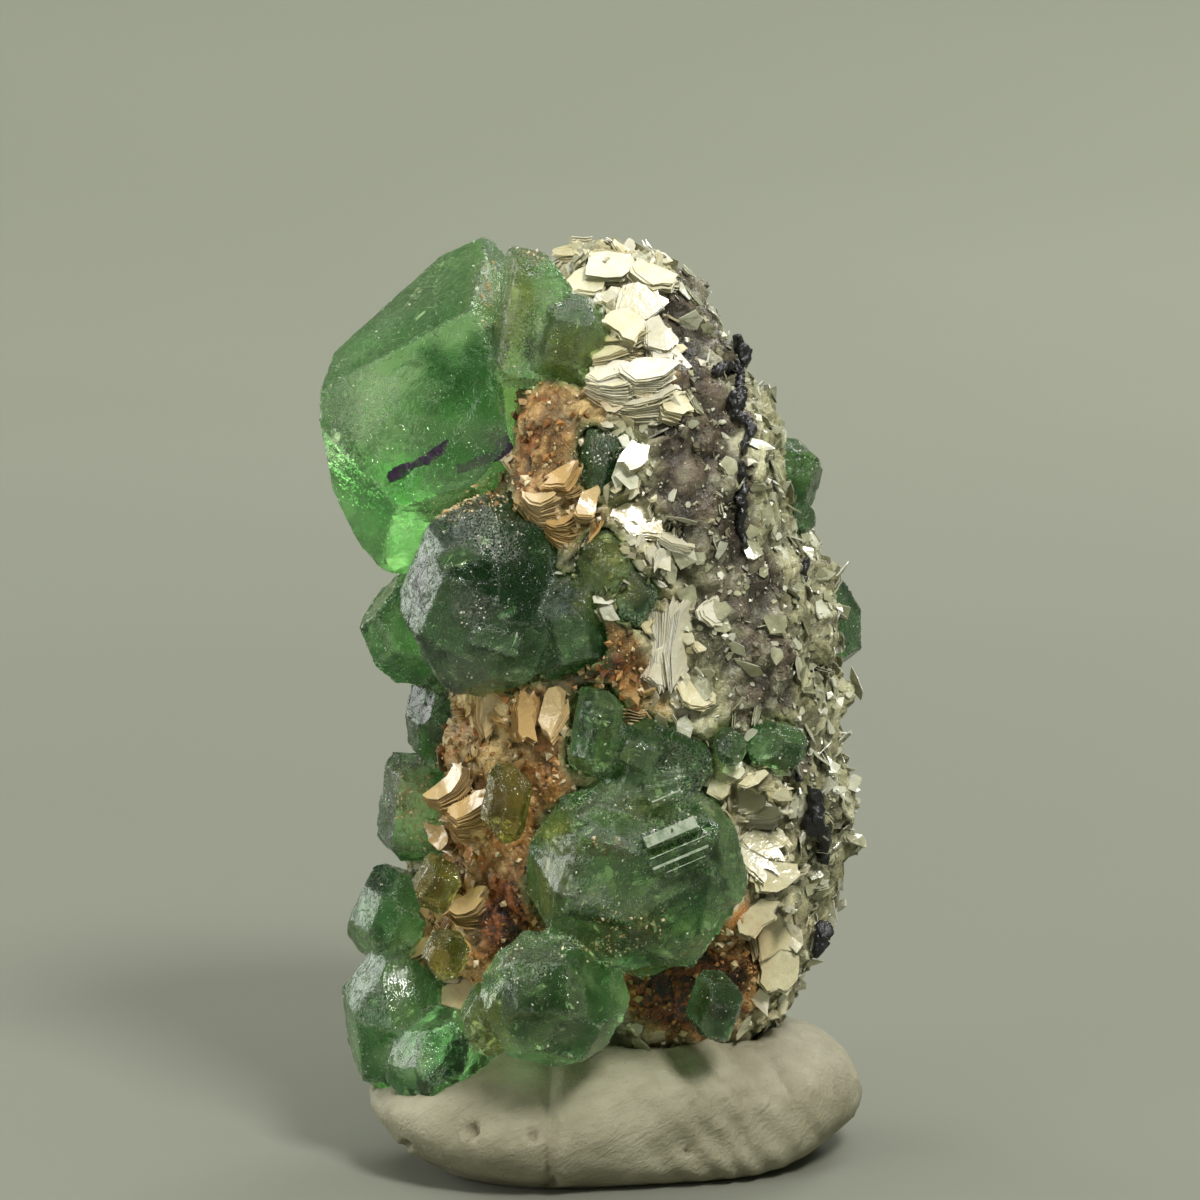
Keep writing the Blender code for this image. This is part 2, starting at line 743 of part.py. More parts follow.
def main():
    clear_scene()
    specimen = Specimen()

    matrix = specimen.add("matrix", "matrix", [matrix_shape()])
    simplify(matrix, MATRIX_FACES)
    apply_modifiers(matrix)
    surface = surface_of(matrix)

    add_fluorites(specimen)
    add_books(specimen, surface)
    add_schorls(specimen, surface)

    putty = specimen.add("putty_base", "putty", [putty_shape()])
    simplify(putty, PUTTY_FACES)
    add_boolean(putty, "DIFFERENCE", mould_of(matrix))
    add_boolean(putty, "DIFFERENCE", specimen.low_seats)

    add_boolean(matrix, "UNION", plates_in_matrix(surface))
    add_boolean(matrix, "DIFFERENCE", specimen.all_seats)
    for piece in specimen.pieces:
        apply_modifiers(piece)
    flatten_foot(putty)


main()
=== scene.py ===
"""Phantom fluorite with schorl, finished for its picture.

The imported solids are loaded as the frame, and a finely modelled piece takes the place of each: etched
see-through fluorite, granular rock, mica in sheets, rough black schorl and thumb-pressed putty. Lengths are
in millimetres, and MM turns them into metres where a mesh, a light or the camera is made. Places are given
as they are seen from the camera: across and up from the middle of the view, and depth behind it.
"""

import itertools
import math
from typing import NamedTuple

import bmesh
import bpy
import numpy as np
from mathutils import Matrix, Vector
from mathutils.bvhtree import BVHTree


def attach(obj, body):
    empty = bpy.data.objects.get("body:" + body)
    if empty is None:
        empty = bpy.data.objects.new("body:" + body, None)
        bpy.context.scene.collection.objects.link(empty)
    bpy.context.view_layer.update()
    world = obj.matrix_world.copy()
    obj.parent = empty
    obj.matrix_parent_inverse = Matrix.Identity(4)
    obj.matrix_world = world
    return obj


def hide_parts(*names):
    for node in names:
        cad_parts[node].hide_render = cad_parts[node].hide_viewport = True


MM = 0.001

# The camera looks 10 degrees down on the specimen, from 280 mm away.
VIEW_ELEVATION = math.radians(10)
VIEW_DISTANCE = 280.0
VIEW_CENTRE = np.array([0.0, 0.0, 22.0])
VIEW_RIGHT = np.array([1.0, 0.0, 0.0])
VIEW_UP = np.array([0.0, math.sin(VIEW_ELEVATION), math.cos(VIEW_ELEVATION)])
VIEW_FORWARD = np.array([0.0, math.cos(VIEW_ELEVATION), -math.sin(VIEW_ELEVATION)])
FRAME_WIDTH = 1200 / 26
SENSOR = 36.0

# How far apart the vertices of each remade solid lie.
MATRIX_VOXEL = 0.20
PUTTY_VOXEL = 0.21


class Patch(NamedTuple):
    """A blurred ellipse on the specimen, as the camera sees it. turn is in degrees, anticlockwise."""

    across: float
    up: float
    wide: float
    high: float
    turn: float = 0.0


# Iron-stained brown grains of feldspar.
STAIN = (
    Patch(-2.0, 5.4, 2.3, 3.4, 20),
    Patch(-5.0, 4.4, 2.0, 1.0, 30),
    Patch(-4.4, 12.3, 0.7, 1.4),
    Patch(-3.2, -5.0, 3.6, 2.4),
    Patch(-5.4, -11.5, 2.7, 6.0),
    Patch(0.6, -2.8, 1.4, 1.8),
    Patch(-2.2, -9.5, 1.6, 3.5),
    Patch(3.3, -14.9, 2.6, 2.6),
    Patch(5.6, -14.0, 1.1, 2.4, -10),
    Patch(-1.2, -12.2, 3.0, 1.2),
)
# Red-brown rust in the deepest stain.
RUST = (
    Patch(3.3, -14.6, 2.6, 1.9, -10),
    Patch(-3.4, 8.0, 0.5, 1.2),
    Patch(-0.4, -2.6, 1.4, 1.1),
    Patch(-4.0, -12.0, 0.9, 1.6),
    Patch(0.5, -13.4, 1.2, 0.6),
)
# Golden mica in thin folded books.
GOLD = (
    Patch(-1.4, 3.6, 1.7, 1.8, 25),
    Patch(-4.2, -4.6, 1.7, 2.4),
    Patch(-5.2, -8.4, 1.7, 1.3),
    Patch(-6.2, -13.6, 1.5, 3.0),
    Patch(0.6, 8.0, 2.1, 1.0, 20),
    Patch(1.7, -4.4, 1.0, 1.2),
)
# Smoky grey-brown rock between the mica, down the right of the front.
SMOKY = (
    Patch(3.5, 11.2, 1.2, 1.7, 10),
    Patch(3.8, 7.4, 1.9, 3.0),
    Patch(4.2, 3.6, 2.1, 2.6),
    Patch(5.6, 0.6, 1.6, 2.4, 30),
    Patch(6.2, -3.0, 1.5, 2.2),
    Patch(6.7, -5.8, 1.3, 1.4),
)
# Creamy white mica in large sheets.
CREAM = (
    Patch(-0.4, 13.4, 2.8, 1.2, -12),
    Patch(1.4, 10.0, 1.7, 3.6),
    Patch(2.6, -1.6, 1.0, 2.8),
    Patch(5.8, -8.8, 2.3, 2.6),
    Patch(6.2, -13.6, 2.0, 3.4),
    Patch(1.6, 2.6, 1.6, 1.8),
)


class Look(NamedTuple):
    """How one fluorite cluster is finished: vertex spacing, etching height and material."""

    voxel: float
    etching: float
    material: str
    slot: str


FLUORITES = {
    "fluorite_large": Look(0.15, 0.026, "large", "fluorite_green"),
    "fluorite_middle": Look(0.125, 0.035, "frosted", "fluorite_frosted"),
    "fluorite_left_column": Look(0.14, 0.040, "green", "fluorite_green"),
    "fluorite_lower_left": Look(0.15, 0.035, "green", "fluorite_green"),
    "fluorite_front": Look(0.125, 0.022, "clear", "fluorite_green"),
    "fluorite_olive_upper": Look(0.10, 0.035, "olive", "fluorite_olive"),
    "fluorite_olive_left": Look(0.10, 0.035, "olive", "fluorite_olive"),
    "fluorite_olive_lower": Look(0.10, 0.035, "olive", "fluorite_olive"),
    "fluorite_small_green": Look(0.10, 0.045, "green", "fluorite_green"),
    "fluorite_among_mica_left": Look(0.10, 0.045, "green", "fluorite_olive"),
    "fluorite_among_mica_right": Look(0.10, 0.045, "green", "fluorite_olive"),
    "fluorite_right_upper": Look(0.13, 0.040, "green", "fluorite_green"),
    "fluorite_right_edge": Look(0.13, 0.025, "green", "fluorite_green"),
    "fluorite_right_foot": Look(0.12, 0.040, "green", "fluorite_green"),
    "fluorite_back_left_upper": Look(0.20, 0.035, "green", "fluorite_green"),
    "fluorite_back_left_middle": Look(0.20, 0.045, "green", "fluorite_green"),
    "fluorite_back_lower": Look(0.20, 0.045, "green", "fluorite_green"),
    "fluorite_back_upper": Look(0.20, 0.035, "green", "fluorite_green"),
    "fluorite_back_middle": Look(0.20, 0.035, "green", "fluorite_green"),
}


# Places as the camera sees them.


def seen_at(across, up, depth):
    """The point that the camera sees at this place of the picture, at this depth."""
    spread = 1 + depth / VIEW_DISTANCE
    return VIEW_CENTRE + (VIEW_RIGHT * across + VIEW_UP * up) * spread + VIEW_FORWARD * depth


def as_seen(points):
    """Across, up and depth of each point."""
    offset = points - VIEW_CENTRE
    depth = offset @ VIEW_FORWARD
    spread = 1 + depth / VIEW_DISTANCE
    return np.stack([offset @ VIEW_RIGHT / spread, offset @ VIEW_UP / spread, depth], axis=1)


def smooth_step(low, high, value):
    part = np.clip((value - low) / (high - low), 0, 1)
    return part * part * (3 - 2 * part)


# Noise.


def hashed(cells, seed):
    """A fixed random value from 0 to 1 for each whole-numbered cell."""
    x, y, z = np.moveaxis(cells.astype(np.int64), -1, 0)
    mixed = (x * 73856093) ^ (y * 19349663) ^ (z * 83492791) ^ (seed * 40503 + 977)
    mixed = ((mixed ^ (mixed >> 13)) * 1274126177) & 0x7FFFFFFF
    return ((mixed ^ (mixed >> 15)) & 0xFFFF) / 0xFFFF


def ripple(points, size, seed=0):
    """Smooth noise from -1 to 1, with bumps about size across."""
    place = points / size
    cell = np.floor(place)
    part = place - cell
    part = part * part * (3 - 2 * part)
    total = np.zeros(len(points))
    for corner in itertools.product((0, 1), repeat=3):
        weight = np.prod(np.where(corner, part, 1 - part), axis=1)
        total += weight * hashed(cell + corner, seed)
    return 2 * total - 1


def rough(points, size, octaves=3, seed=0):
    """Noise with finer and finer bumps on it, from about -1 to 1."""
    return sum(ripple(points, size / 2**i, seed + i) / 2**i for i in range(octaves)) / 1.6


def grain_field(points, size, seed=0):
    """How near each point is to the middle of the grain it lies in, from 1 to 0, and the grain's own number."""
    place = points / size
    cell = np.floor(place)
    nearest = np.full(len(points), 9.0)
    number = np.zeros(len(points))
    for step in itertools.product((-1, 0, 1), repeat=3):
        there = cell + step
        jitter = np.stack([hashed(there, seed + i) for i in range(3)], axis=1)
        gap = np.linalg.norm(there + jitter - place, axis=1)
        closer = gap < nearest
        nearest = np.where(closer, gap, nearest)
        number = np.where(closer, jitter[:, 0], number)
    return 1 - np.clip(nearest, 0, 1), number


def packets(points):
    """Six values from -1 to 1 that all points of one packet of mica share, and the packet's own number."""
    bent = points + 0.35 * np.stack([ripple(points, 0.8, seed) for seed in (2, 3, 4)], axis=1)
    _, number = grain_field(bent, 1.6, 71)
    return 2 * np.modf(number[:, None] * (97, 193, 389, 769, 1543, 3079))[0] - 1, number


def patch_mask(points, patches, seed, ragged=0.45, size=1.6, soft=(0.75, 1.15)):
    """1 inside any of the patches, 0 outside them, with a ragged border. Only the front has patches."""
    across, up, depth = as_seen(points).T
    border = rough(points, size, 4, seed) * ragged
    mask = np.zeros(len(points))
    for patch in patches:
        turn = math.radians(patch.turn)
        right, above = across - patch.across, up - patch.up
        along = (right * math.cos(turn) + above * math.sin(turn)) / patch.wide
        over = (above * math.cos(turn) - right * math.sin(turn)) / patch.high
        mask = np.maximum(mask, 1 - smooth_step(*soft, np.hypot(along, over) + border))
    return mask * (1 - smooth_step(1.5, 4.5, depth))


def zones(points):
    """How much of each kind of rock there is at each point. Behind, the kinds carry on in drifting patches."""
    across, _, depth = as_seen(points).T
    behind = smooth_step(1.5, 4.5, depth)
    drift = rough(points, 7.0, 2, 40)
    left = smooth_step(3.0, -4.0, across + 3 * drift)
    kinds = {
        "stain": np.maximum(patch_mask(points, STAIN, 11), behind * left * 0.9),
        "rust": np.maximum(patch_mask(points, RUST, 12), behind * left * (rough(points, 3.0, 2, 41) > 0.35)),
        "gold": np.maximum(patch_mask(points, GOLD, 13), behind * left * (rough(points, 4.0, 2, 42) > 0.1)),
        "smoky": np.maximum(patch_mask(points, SMOKY, 14), behind * (1 - left) * (rough(points, 5.0, 2, 43) > 0.2)),
        "cream": np.maximum(patch_mask(points, CREAM, 15), behind * (1 - left) * (rough(points, 6.0, 2, 44) < -0.15)),
    }
    return kinds


# Meshes.


def new_piece(name, mesh, material, nodes=(), smooth=True):
    """Shows a mesh as a piece of the specimen."""
    piece = bpy.data.objects.new(name, mesh)
    bpy.context.scene.collection.objects.link(piece)
    mesh.materials.clear()
    mesh.materials.append(material)
    mesh.polygons.foreach_set("use_smooth", np.full(len(mesh.polygons), smooth))
    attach(piece, "root")
    if nodes:
        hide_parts(*nodes)
    return piece


def mesh_of(name, points, triangles):
    """A mesh from arrays of points, in millimetres, and of triangles."""
    mesh = bpy.data.meshes.new(name)
    mesh.vertices.add(len(points))
    mesh.vertices.foreach_set("co", (points * MM).ravel())
    mesh.loops.add(len(triangles) * 3)
    mesh.loops.foreach_set("vertex_index", triangles.ravel().astype(np.int32))
    mesh.polygons.add(len(triangles))
    mesh.polygons.foreach_set("loop_start", np.arange(0, len(triangles) * 3, 3, dtype=np.int32))
    mesh.update(calc_edges=True)
    mesh.validate()
    return mesh


def add_attribute(mesh, name, values):
    mesh.attributes.new(name, "FLOAT", "POINT").data.foreach_set("value", values.astype(np.float32))


def points_of(mesh):
    points = np.empty(len(mesh.vertices) * 3)
    mesh.vertices.foreach_get("co", points)
    return points.reshape(-1, 3) / MM


def normals_of(mesh):
    normals = np.empty(len(mesh.vertices) * 3)
    mesh.vertex_normals.foreach_get("vector", normals)
    return normals.reshape(-1, 3)


def move_points(mesh, points):
    mesh.vertices.foreach_set("co", (points * MM).ravel())
    mesh.update()


def solid_of(node, additions=()):
    """A node's solid as a bmesh in the row frame, with its seams closed, and with other solids that overlap it."""
    shape = bmesh.new()
    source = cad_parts[node]
    shape.from_mesh(source.data)
    shape.transform(source.matrix_world)
    bmesh.ops.remove_doubles(shape, verts=shape.verts, dist=0.002 * MM)
    for corners in additions:
        added = [shape.verts.new(Vector(corner) * MM) for corner in corners]
        bmesh.ops.convex_hull(shape, input=added)
    return shape


def refined(name, shape, voxel):
    """The bmesh as one closed skin whose vertices lie a voxel apart."""
    coarse = bpy.data.meshes.new(name + "_coarse")
    shape.to_mesh(coarse)
    shape.free()
    holder = bpy.data.objects.new(name + "_coarse", coarse)
    bpy.context.scene.collection.objects.link(holder)
    remesh = holder.modifiers.new("Remesh", "REMESH")
    remesh.mode = "VOXEL"
    remesh.voxel_size = voxel * MM
    bpy.context.view_layer.update()
    fine = bpy.data.meshes.new_from_object(holder.evaluated_get(bpy.context.evaluated_depsgraph_get()))
    fine.name = name
    bpy.data.objects.remove(holder)
    bpy.data.meshes.remove(coarse)
    return fine


def triangles_of(mesh):
    mesh.calc_loop_triangles()
    corners = np.empty(len(mesh.loop_triangles) * 3, dtype=np.int32)
    mesh.loop_triangles.foreach_get("vertices", corners)
    return corners.reshape(-1, 3)


def scattered(mesh, count, rng):
    """Random points on a mesh, evenly over its area, with the normal at each."""
    corners = points_of(mesh)[triangles_of(mesh)]
    cross = np.cross(corners[:, 1] - corners[:, 0], corners[:, 2] - corners[:, 0])
    area = np.linalg.norm(cross, axis=1)
    chosen = rng.choice(len(area), count, p=area / area.sum())
    a, b = rng.random((2, count))
    over = a + b > 1
    a, b = np.where(over, 1 - a, a), np.where(over, 1 - b, b)
    picked = corners[chosen]
    points = picked[:, 0] + a[:, None] * (picked[:, 1] - picked[:, 0]) + b[:, None] * (picked[:, 2] - picked[:, 0])
    return points, cross[chosen] / area[chosen][:, None]


def depth_inside(tree, points):
    """How deep each point lies inside the closed meshes of a tree. Outside, it is negative."""
    depths = []
    for point in points:
        place = Vector(point) * MM
        nearest, normal, _, distance = tree.find_nearest(place)
        depths.append(distance / MM if (nearest - place).dot(normal) > 0 else -distance / MM)
    return np.array(depths)


def unit(vectors):
    return vectors / np.maximum(np.linalg.norm(vectors, axis=-1, keepdims=True), 1e-9)


# Materials.


class Shader:
    """A material with a Principled shader, and the textures that are fed to it."""

    def __init__(self, name, **values):
        self.material = bpy.data.materials.new(name)
        self.material.use_nodes = True
        self.nodes = self.material.node_tree.nodes
        self.links = self.material.node_tree.links
        self.surface = self.nodes["Principled BSDF"]
        for key, value in values.items():
            self.surface.inputs[key.replace("_", " ")].default_value = value
        place = self.nodes.new("ShaderNodeTexCoord")
        scale = self.nodes.new("ShaderNodeVectorMath")
        scale.operation = "SCALE"
        scale.inputs["Scale"].default_value = 1 / MM
        self.links.new(place.outputs["Object"], scale.inputs[0])
        self.place = scale.outputs[0]

    def feed(self, socket, value):
        if isinstance(value, bpy.types.NodeSocket):
            self.links.new(value, socket)
        else:
            socket.default_value = value

    def stretched(self, x, y, z):
        """Places squeezed along the axes, so that what is laid out by them is stretched."""
        node = self.nodes.new("ShaderNodeVectorMath")
        node.operation = "MULTIPLY"
        self.links.new(self.place, node.inputs[0])
        node.inputs[1].default_value = (x, y, z)
        return node.outputs[0]

    def noise(self, size, detail=3.0, roughness=0.55, distortion=0.0, place=None):
        """Noise with features about size millimetres across."""
        node = self.nodes.new("ShaderNodeTexNoise")
        self.links.new(place or self.place, node.inputs["Vector"])
        node.inputs["Scale"].default_value = 1 / size
        node.inputs["Detail"].default_value = detail
        node.inputs["Roughness"].default_value = roughness
        node.inputs["Distortion"].default_value = distortion
        return node.outputs["Fac"]

    def turned(self, degrees, length):
        """Places turned in the picture's plane, so that what is laid out by them runs length times as long that way."""
        node = self.nodes.new("ShaderNodeMapping")
        node.vector_type = "TEXTURE"
        node.inputs["Rotation"].default_value = (0, -math.radians(degrees), 0)
        node.inputs["Scale"].default_value = (length, 1, 1)
        self.links.new(self.place, node.inputs["Vector"])
        return node.outputs["Vector"]

    def streaks(self, name, size):
        """Fine lines about size millimetres apart, laid out by one value of the vertices."""
        node = self.nodes.new("ShaderNodeTexNoise")
        node.noise_dimensions = "1D"
        self.links.new(self.attribute(name), node.inputs["W"])
        node.inputs["Scale"].default_value = 1 / size
        node.inputs["Detail"].default_value = 3.0
        return node.outputs["Fac"]

    def cells(self, size, place=None):
        """Distance from the middle of the nearest of scattered cells."""
        node = self.nodes.new("ShaderNodeTexVoronoi")
        self.links.new(place or self.place, node.inputs["Vector"])
        node.inputs["Scale"].default_value = 1 / size
        return node.outputs["Distance"]

    def attribute(self, name):
        node = self.nodes.new("ShaderNodeAttribute")
        node.attribute_name = name
        return node.outputs["Fac"]

    def between(self, value, low, high, start=0.0, end=1.0):
        """start below low, end above high, and a smooth slope between."""
        node = self.nodes.new("ShaderNodeMapRange")
        node.interpolation_type = "SMOOTHSTEP"
        self.feed(node.inputs["Value"], value)
        for key, number in (("From Min", low), ("From Max", high), ("To Min", start), ("To Max", end)):
            node.inputs[key].default_value = number
        return node.outputs["Result"]

    def maths(self, operation, first, second):
        node = self.nodes.new("ShaderNodeMath")
        node.operation = operation
        self.feed(node.inputs[0], first)
        self.feed(node.inputs[1], second)
        return node.outputs[0]

    def mix(self, factor, first, second, blend="MIX"):
        """One colour turning into the other as factor goes from 0 to 1."""
        node = self.nodes.new("ShaderNodeMix")
        node.data_type = "RGBA"
        node.blend_type = blend
        self.feed(node.inputs[0], factor)
        self.feed(node.inputs[6], first)
        self.feed(node.inputs[7], second)
        return node.outputs[2]

    def ramp(self, factor, *stops):
        """Colours at places from 0 to 1."""
        node = self.nodes.new("ShaderNodeValToRGB")
        self.links.new(factor, node.inputs["Fac"])
        elements = node.color_ramp.elements
        while len(elements) < len(stops):
            elements.new(0.5)
        for element, (place, colour) in zip(elements, stops):
            element.position = place
            element.color = colour
        return node.outputs["Color"]

    def bump(self, *layers):
        """Relief from pairs of a height and how many millimetres high it stands."""
        normal = None
        for height, size in layers:
            node = self.nodes.new("ShaderNodeBump")
            node.inputs["Strength"].default_value = 1.0
            node.inputs["Distance"].default_value = size * MM
            self.links.new(height, node.inputs["Height"])
            if normal:
                self.links.new(normal, node.inputs["Normal"])
            normal = node.outputs["Normal"]
        self.links.new(normal, self.surface.inputs["Normal"])

    def absorb(self, colour, density):
        """Light of other colours is lost inside, by density for each metre."""
        node = self.nodes.new("ShaderNodeVolumeAbsorption")
        node.inputs["Color"].default_value = colour
        node.inputs["Density"].default_value = density
        output = self.nodes["Material Output"]
        self.links.new(node.outputs[0], output.inputs["Volume"])


def rgb(red, green, blue):
    """A colour from the 0 to 255 values of a screen."""

    def linear(value):
        part = value / 255
        return part / 12.92 if part <= 0.04045 else ((part + 0.055) / 1.055) ** 2.4

    return (linear(red), linear(green), linear(blue), 1.0)


def fluorite_material(name, transmission, tint, deep, frost_colour, absorption, density, etching):
    """See-through fluorite, tint and deep green by turns. An etching of 1 makes its faces finely etched."""
    shader = Shader(name, IOR=1.434, Transmission_Weight=transmission)
    broad = shader.noise(1.6, 3, 0.6)
    fine = shader.noise(0.20, 4, 0.65)
    pits = shader.noise(0.08, 2, 0.5)
    ledges = shader.between(shader.noise(0.7, 4, 0.6), 0.47, 0.53)
    veils = shader.noise(0.34, 4, 0.7, 1.2, shader.turned(35, 2.6))
    frost = shader.maths("MULTIPLY", shader.between(broad, 0.42, 0.70), shader.between(fine, 0.50, 0.64))
    frost = shader.maths("ADD", shader.maths("MULTIPLY", frost, 0.35), shader.between(veils, 0.56, 0.70, 0.0, 0.45))
    # White crust from the frost marks, and painted sheen where they stand for it.
    frost = shader.maths("ADD", frost, shader.maths("MULTIPLY", shader.attribute("frost"), 1.2))
    # Painted highlight: more frost along the crystals' sharp edges.
    frost = shader.maths("ADD", frost, shader.maths("MULTIPLY", shader.attribute("edge"), 0.55))
    facet = shader.attribute("facet")
    frost = shader.maths("ADD", frost, shader.between(facet, 0.66, 0.80, 0.0, 0.30))
    speckled = shader.maths("MULTIPLY", shader.between(frost, 0.1, 1.0), shader.between(pits, 0.46, 0.56, 0.0, 1.0))
    shade = shader.maths("ADD", shader.maths("MULTIPLY", broad, 0.6), shader.maths("MULTIPLY", facet, 0.4))
    colour = shader.mix(shader.between(shade, 0.36, 0.60), tint, deep)
    # Painted shade: deep green where dark rock lies behind.
    colour = shader.mix(shader.maths("MULTIPLY", shader.attribute("deep"), 0.9), colour, rgb(44, 92, 44))
    # Painted light: a pale green glow where light comes through.
    colour = shader.mix(shader.maths("MULTIPLY", shader.attribute("pale"), 0.85), colour, rgb(226, 246, 204))
    colour = shader.mix(shader.maths("MULTIPLY", shader.attribute("yellow"), 0.8), colour, rgb(206, 208, 106))
    colour = shader.mix(shader.maths("MULTIPLY", shader.attribute("purple"), 0.75), colour, rgb(84, 68, 92))
    colour = shader.mix(speckled, colour, frost_colour)
    rusty = shader.maths("MULTIPLY", shader.attribute("brown"), shader.between(fine, 0.42, 0.6))
    colour = shader.mix(shader.maths("MULTIPLY", rusty, 0.7), colour, rgb(190, 128, 66))
    shader.feed(shader.surface.inputs["Base Color"], colour)
    shader.feed(shader.surface.inputs["Roughness"], shader.between(speckled, 0.0, 0.8, 0.015, 0.30))
    etched = shader.maths("MULTIPLY", fine, shader.between(frost, 0.0, 0.6, 0.3, 1.3))
    shader.bump((ledges, 0.018 * etching), (etched, 0.026 * etching), (pits, 0.010 * etching))
    shader.absorb(absorption, density)
    return shader.material


def matrix_material():
    """Rock in five kinds, which the vertices' own values lay out. Each lump of it has its own tone, and its hollows are
    darkened with painted shade.
    """
    shader = Shader("matrix", Specular_IOR_Level=0.55)
    broad = shader.noise(1.2, 4, 0.6)
    fine = shader.noise(0.22, 4, 0.7)
    glitter = shader.noise(0.07, 2, 0.6)
    tone = shader.attribute("tone")
    pleats = shader.streaks("line", 0.11)
    grain = shader.maths("ADD", shader.maths("MULTIPLY", fine, 0.55), shader.maths("MULTIPLY", tone, 0.25))
    grain = shader.maths("ADD", grain, shader.maths("MULTIPLY", pleats, 0.22))
    lump = shader.maths("ADD", shader.maths("MULTIPLY", fine, 0.45), shader.maths("MULTIPLY", tone, 0.6))
    pale = shader.ramp(
        grain,
        (0.3, rgb(112, 110, 76)),
        (0.48, rgb(164, 161, 120)),
        (0.62, rgb(198, 196, 160)),
        (0.75, rgb(222, 221, 200)),
    )
    stain = shader.ramp(
        grain,
        (0.28, rgb(84, 52, 24)),
        (0.42, rgb(150, 106, 52)),
        (0.55, rgb(190, 148, 88)),
        (0.70, rgb(222, 196, 148)),
    )
    rust = shader.ramp(
        grain,
        (0.36, rgb(36, 36, 24)),
        (0.46, rgb(66, 48, 28)),
        (0.54, rgb(146, 78, 34)),
        (0.70, rgb(194, 132, 74)),
    )
    gold = shader.ramp(grain, (0.3, rgb(138, 110, 60)), (0.55, rgb(202, 172, 112)), (0.75, rgb(230, 214, 168)))
    smoky = shader.ramp(
        lump,
        (0.24, rgb(30, 28, 22)),
        (0.38, rgb(74, 66, 50)),
        (0.48, rgb(112, 98, 82)),
        (0.60, rgb(122, 118, 94)),
        (0.76, rgb(188, 186, 164)),
    )
    cream = shader.ramp(grain, (0.3, rgb(158, 148, 104)), (0.55, rgb(208, 201, 160)), (0.75, rgb(234, 232, 208)))
    colour = pale
    for name, other in (("cream", cream), ("smoky", smoky), ("stain", stain), ("gold", gold), ("rust", rust)):
        colour = shader.mix(shader.attribute(name), colour, other)
    # Painted shade: the rock is darkened in its hollows, by its relief height.
    shade = shader.between(shader.attribute("relief"), 0.15, 0.62, 0.32, 1.0)
    colour = shader.mix(1.0, colour, shader.ramp(shade, (0.0, (0, 0, 0, 1)), (1.0, (1, 1, 1, 1))), "MULTIPLY")
    orange = shader.maths("MULTIPLY", shader.attribute("stain"), shader.between(broad, 0.52, 0.66))
    colour = shader.mix(shader.maths("MULTIPLY", orange, 0.6), colour, rgb(196, 118, 52))
    # Painted shade and glow under the crystals: dark rock with paler patches, seen through the fluorite.
    beneath_shade_and_glow = shader.ramp(broad, (0.35, rgb(40, 48, 26)), (0.5, rgb(104, 112, 66)), (0.65, rgb(176, 178, 128)))
    colour = shader.mix(shader.attribute("covered"), colour, beneath_shade_and_glow)
    shader.feed(shader.surface.inputs["Base Color"], colour)
    shader.feed(shader.surface.inputs["Roughness"], shader.between(glitter, 0.35, 0.6, 0.5, 0.12))
    shader.bump((pleats, 0.035), (fine, 0.09), (glitter, 0.040))
    return shader.material


def mica_material(name, dark, middle, bright):
    """Pearly mica. Each sheet has its own tone, and fine pleats run along each book."""
    shader = Shader(name, Specular_IOR_Level=0.8, Coat_Weight=0.5, Coat_Roughness=0.08, Transmission_Weight=0.30)
    tone = shader.attribute("tone")
    clouds = shader.noise(0.5, 3, 0.6)
    pleats = shader.streaks("line", 0.035)
    mixed = shader.maths("ADD", shader.maths("MULTIPLY", tone, 0.40), shader.maths("MULTIPLY", clouds, 0.52))
    mixed = shader.maths("ADD", mixed, shader.maths("MULTIPLY", pleats, 0.04))
    colour = shader.ramp(mixed, (0.20, dark), (0.45, middle), (0.72, bright))
    stained = shader.maths("MULTIPLY", shader.attribute("stain"), shader.between(clouds, 0.35, 0.65, 0.2, 0.8))
    colour = shader.mix(stained, colour, rgb(196, 152, 88))
    shader.feed(shader.surface.inputs["Base Color"], colour)
    shader.feed(shader.surface.inputs["Roughness"], shader.between(pleats, 0.3, 0.7, 0.16, 0.26))
    shader.bump((clouds, 0.09), (pleats, 0.0025))
    return shader.material


def grain_material():
    """Loose grains, each with its own tone, browner where the rock is stained."""
    shader = Shader("grains", Specular_IOR_Level=0.5)
    tone = shader.attribute("tone")
    fine = shader.noise(0.1, 2, 0.5)
    mixed = shader.maths("ADD", tone, shader.maths("MULTIPLY", fine, 0.15))
    stained = shader.ramp(
        mixed,
        (0.1, rgb(92, 58, 28)),
        (0.35, rgb(166, 116, 60)),
        (0.65, rgb(178, 150, 104)),
        (0.95, rgb(214, 198, 160)),
    )
    clean = shader.ramp(mixed, (0.1, rgb(100, 96, 76)), (0.5, rgb(170, 164, 136)), (0.9, rgb(232, 230, 214)))
    colour = shader.mix(shader.attribute("stain"), clean, stained)
    shader.feed(shader.surface.inputs["Base Color"], colour)
    shader.feed(shader.surface.inputs["Roughness"], shader.between(fine, 0.3, 0.7, 0.3, 0.6))
    shader.bump((fine, 0.02))
    return shader.material


def schorl_material():
    """Black tourmaline, ribbed along its length and dusty in places."""
    shader = Shader("schorl", Specular_IOR_Level=0.6)
    ribs = shader.noise(0.07, 2, 0.5, place=shader.stretched(1.0, 1.0, 0.25))
    dust = shader.noise(0.3, 4, 0.7)
    colour = shader.ramp(dust, (0.35, rgb(9, 9, 11)), (0.64, rgb(20, 21, 24)), (0.82, rgb(84, 84, 84)))
    shader.feed(shader.surface.inputs["Base Color"], colour)
    shader.feed(shader.surface.inputs["Roughness"], shader.between(dust, 0.35, 0.7, 0.22, 0.6))
    shader.bump((ribs, 0.03), (dust, 0.05))
    return shader.material


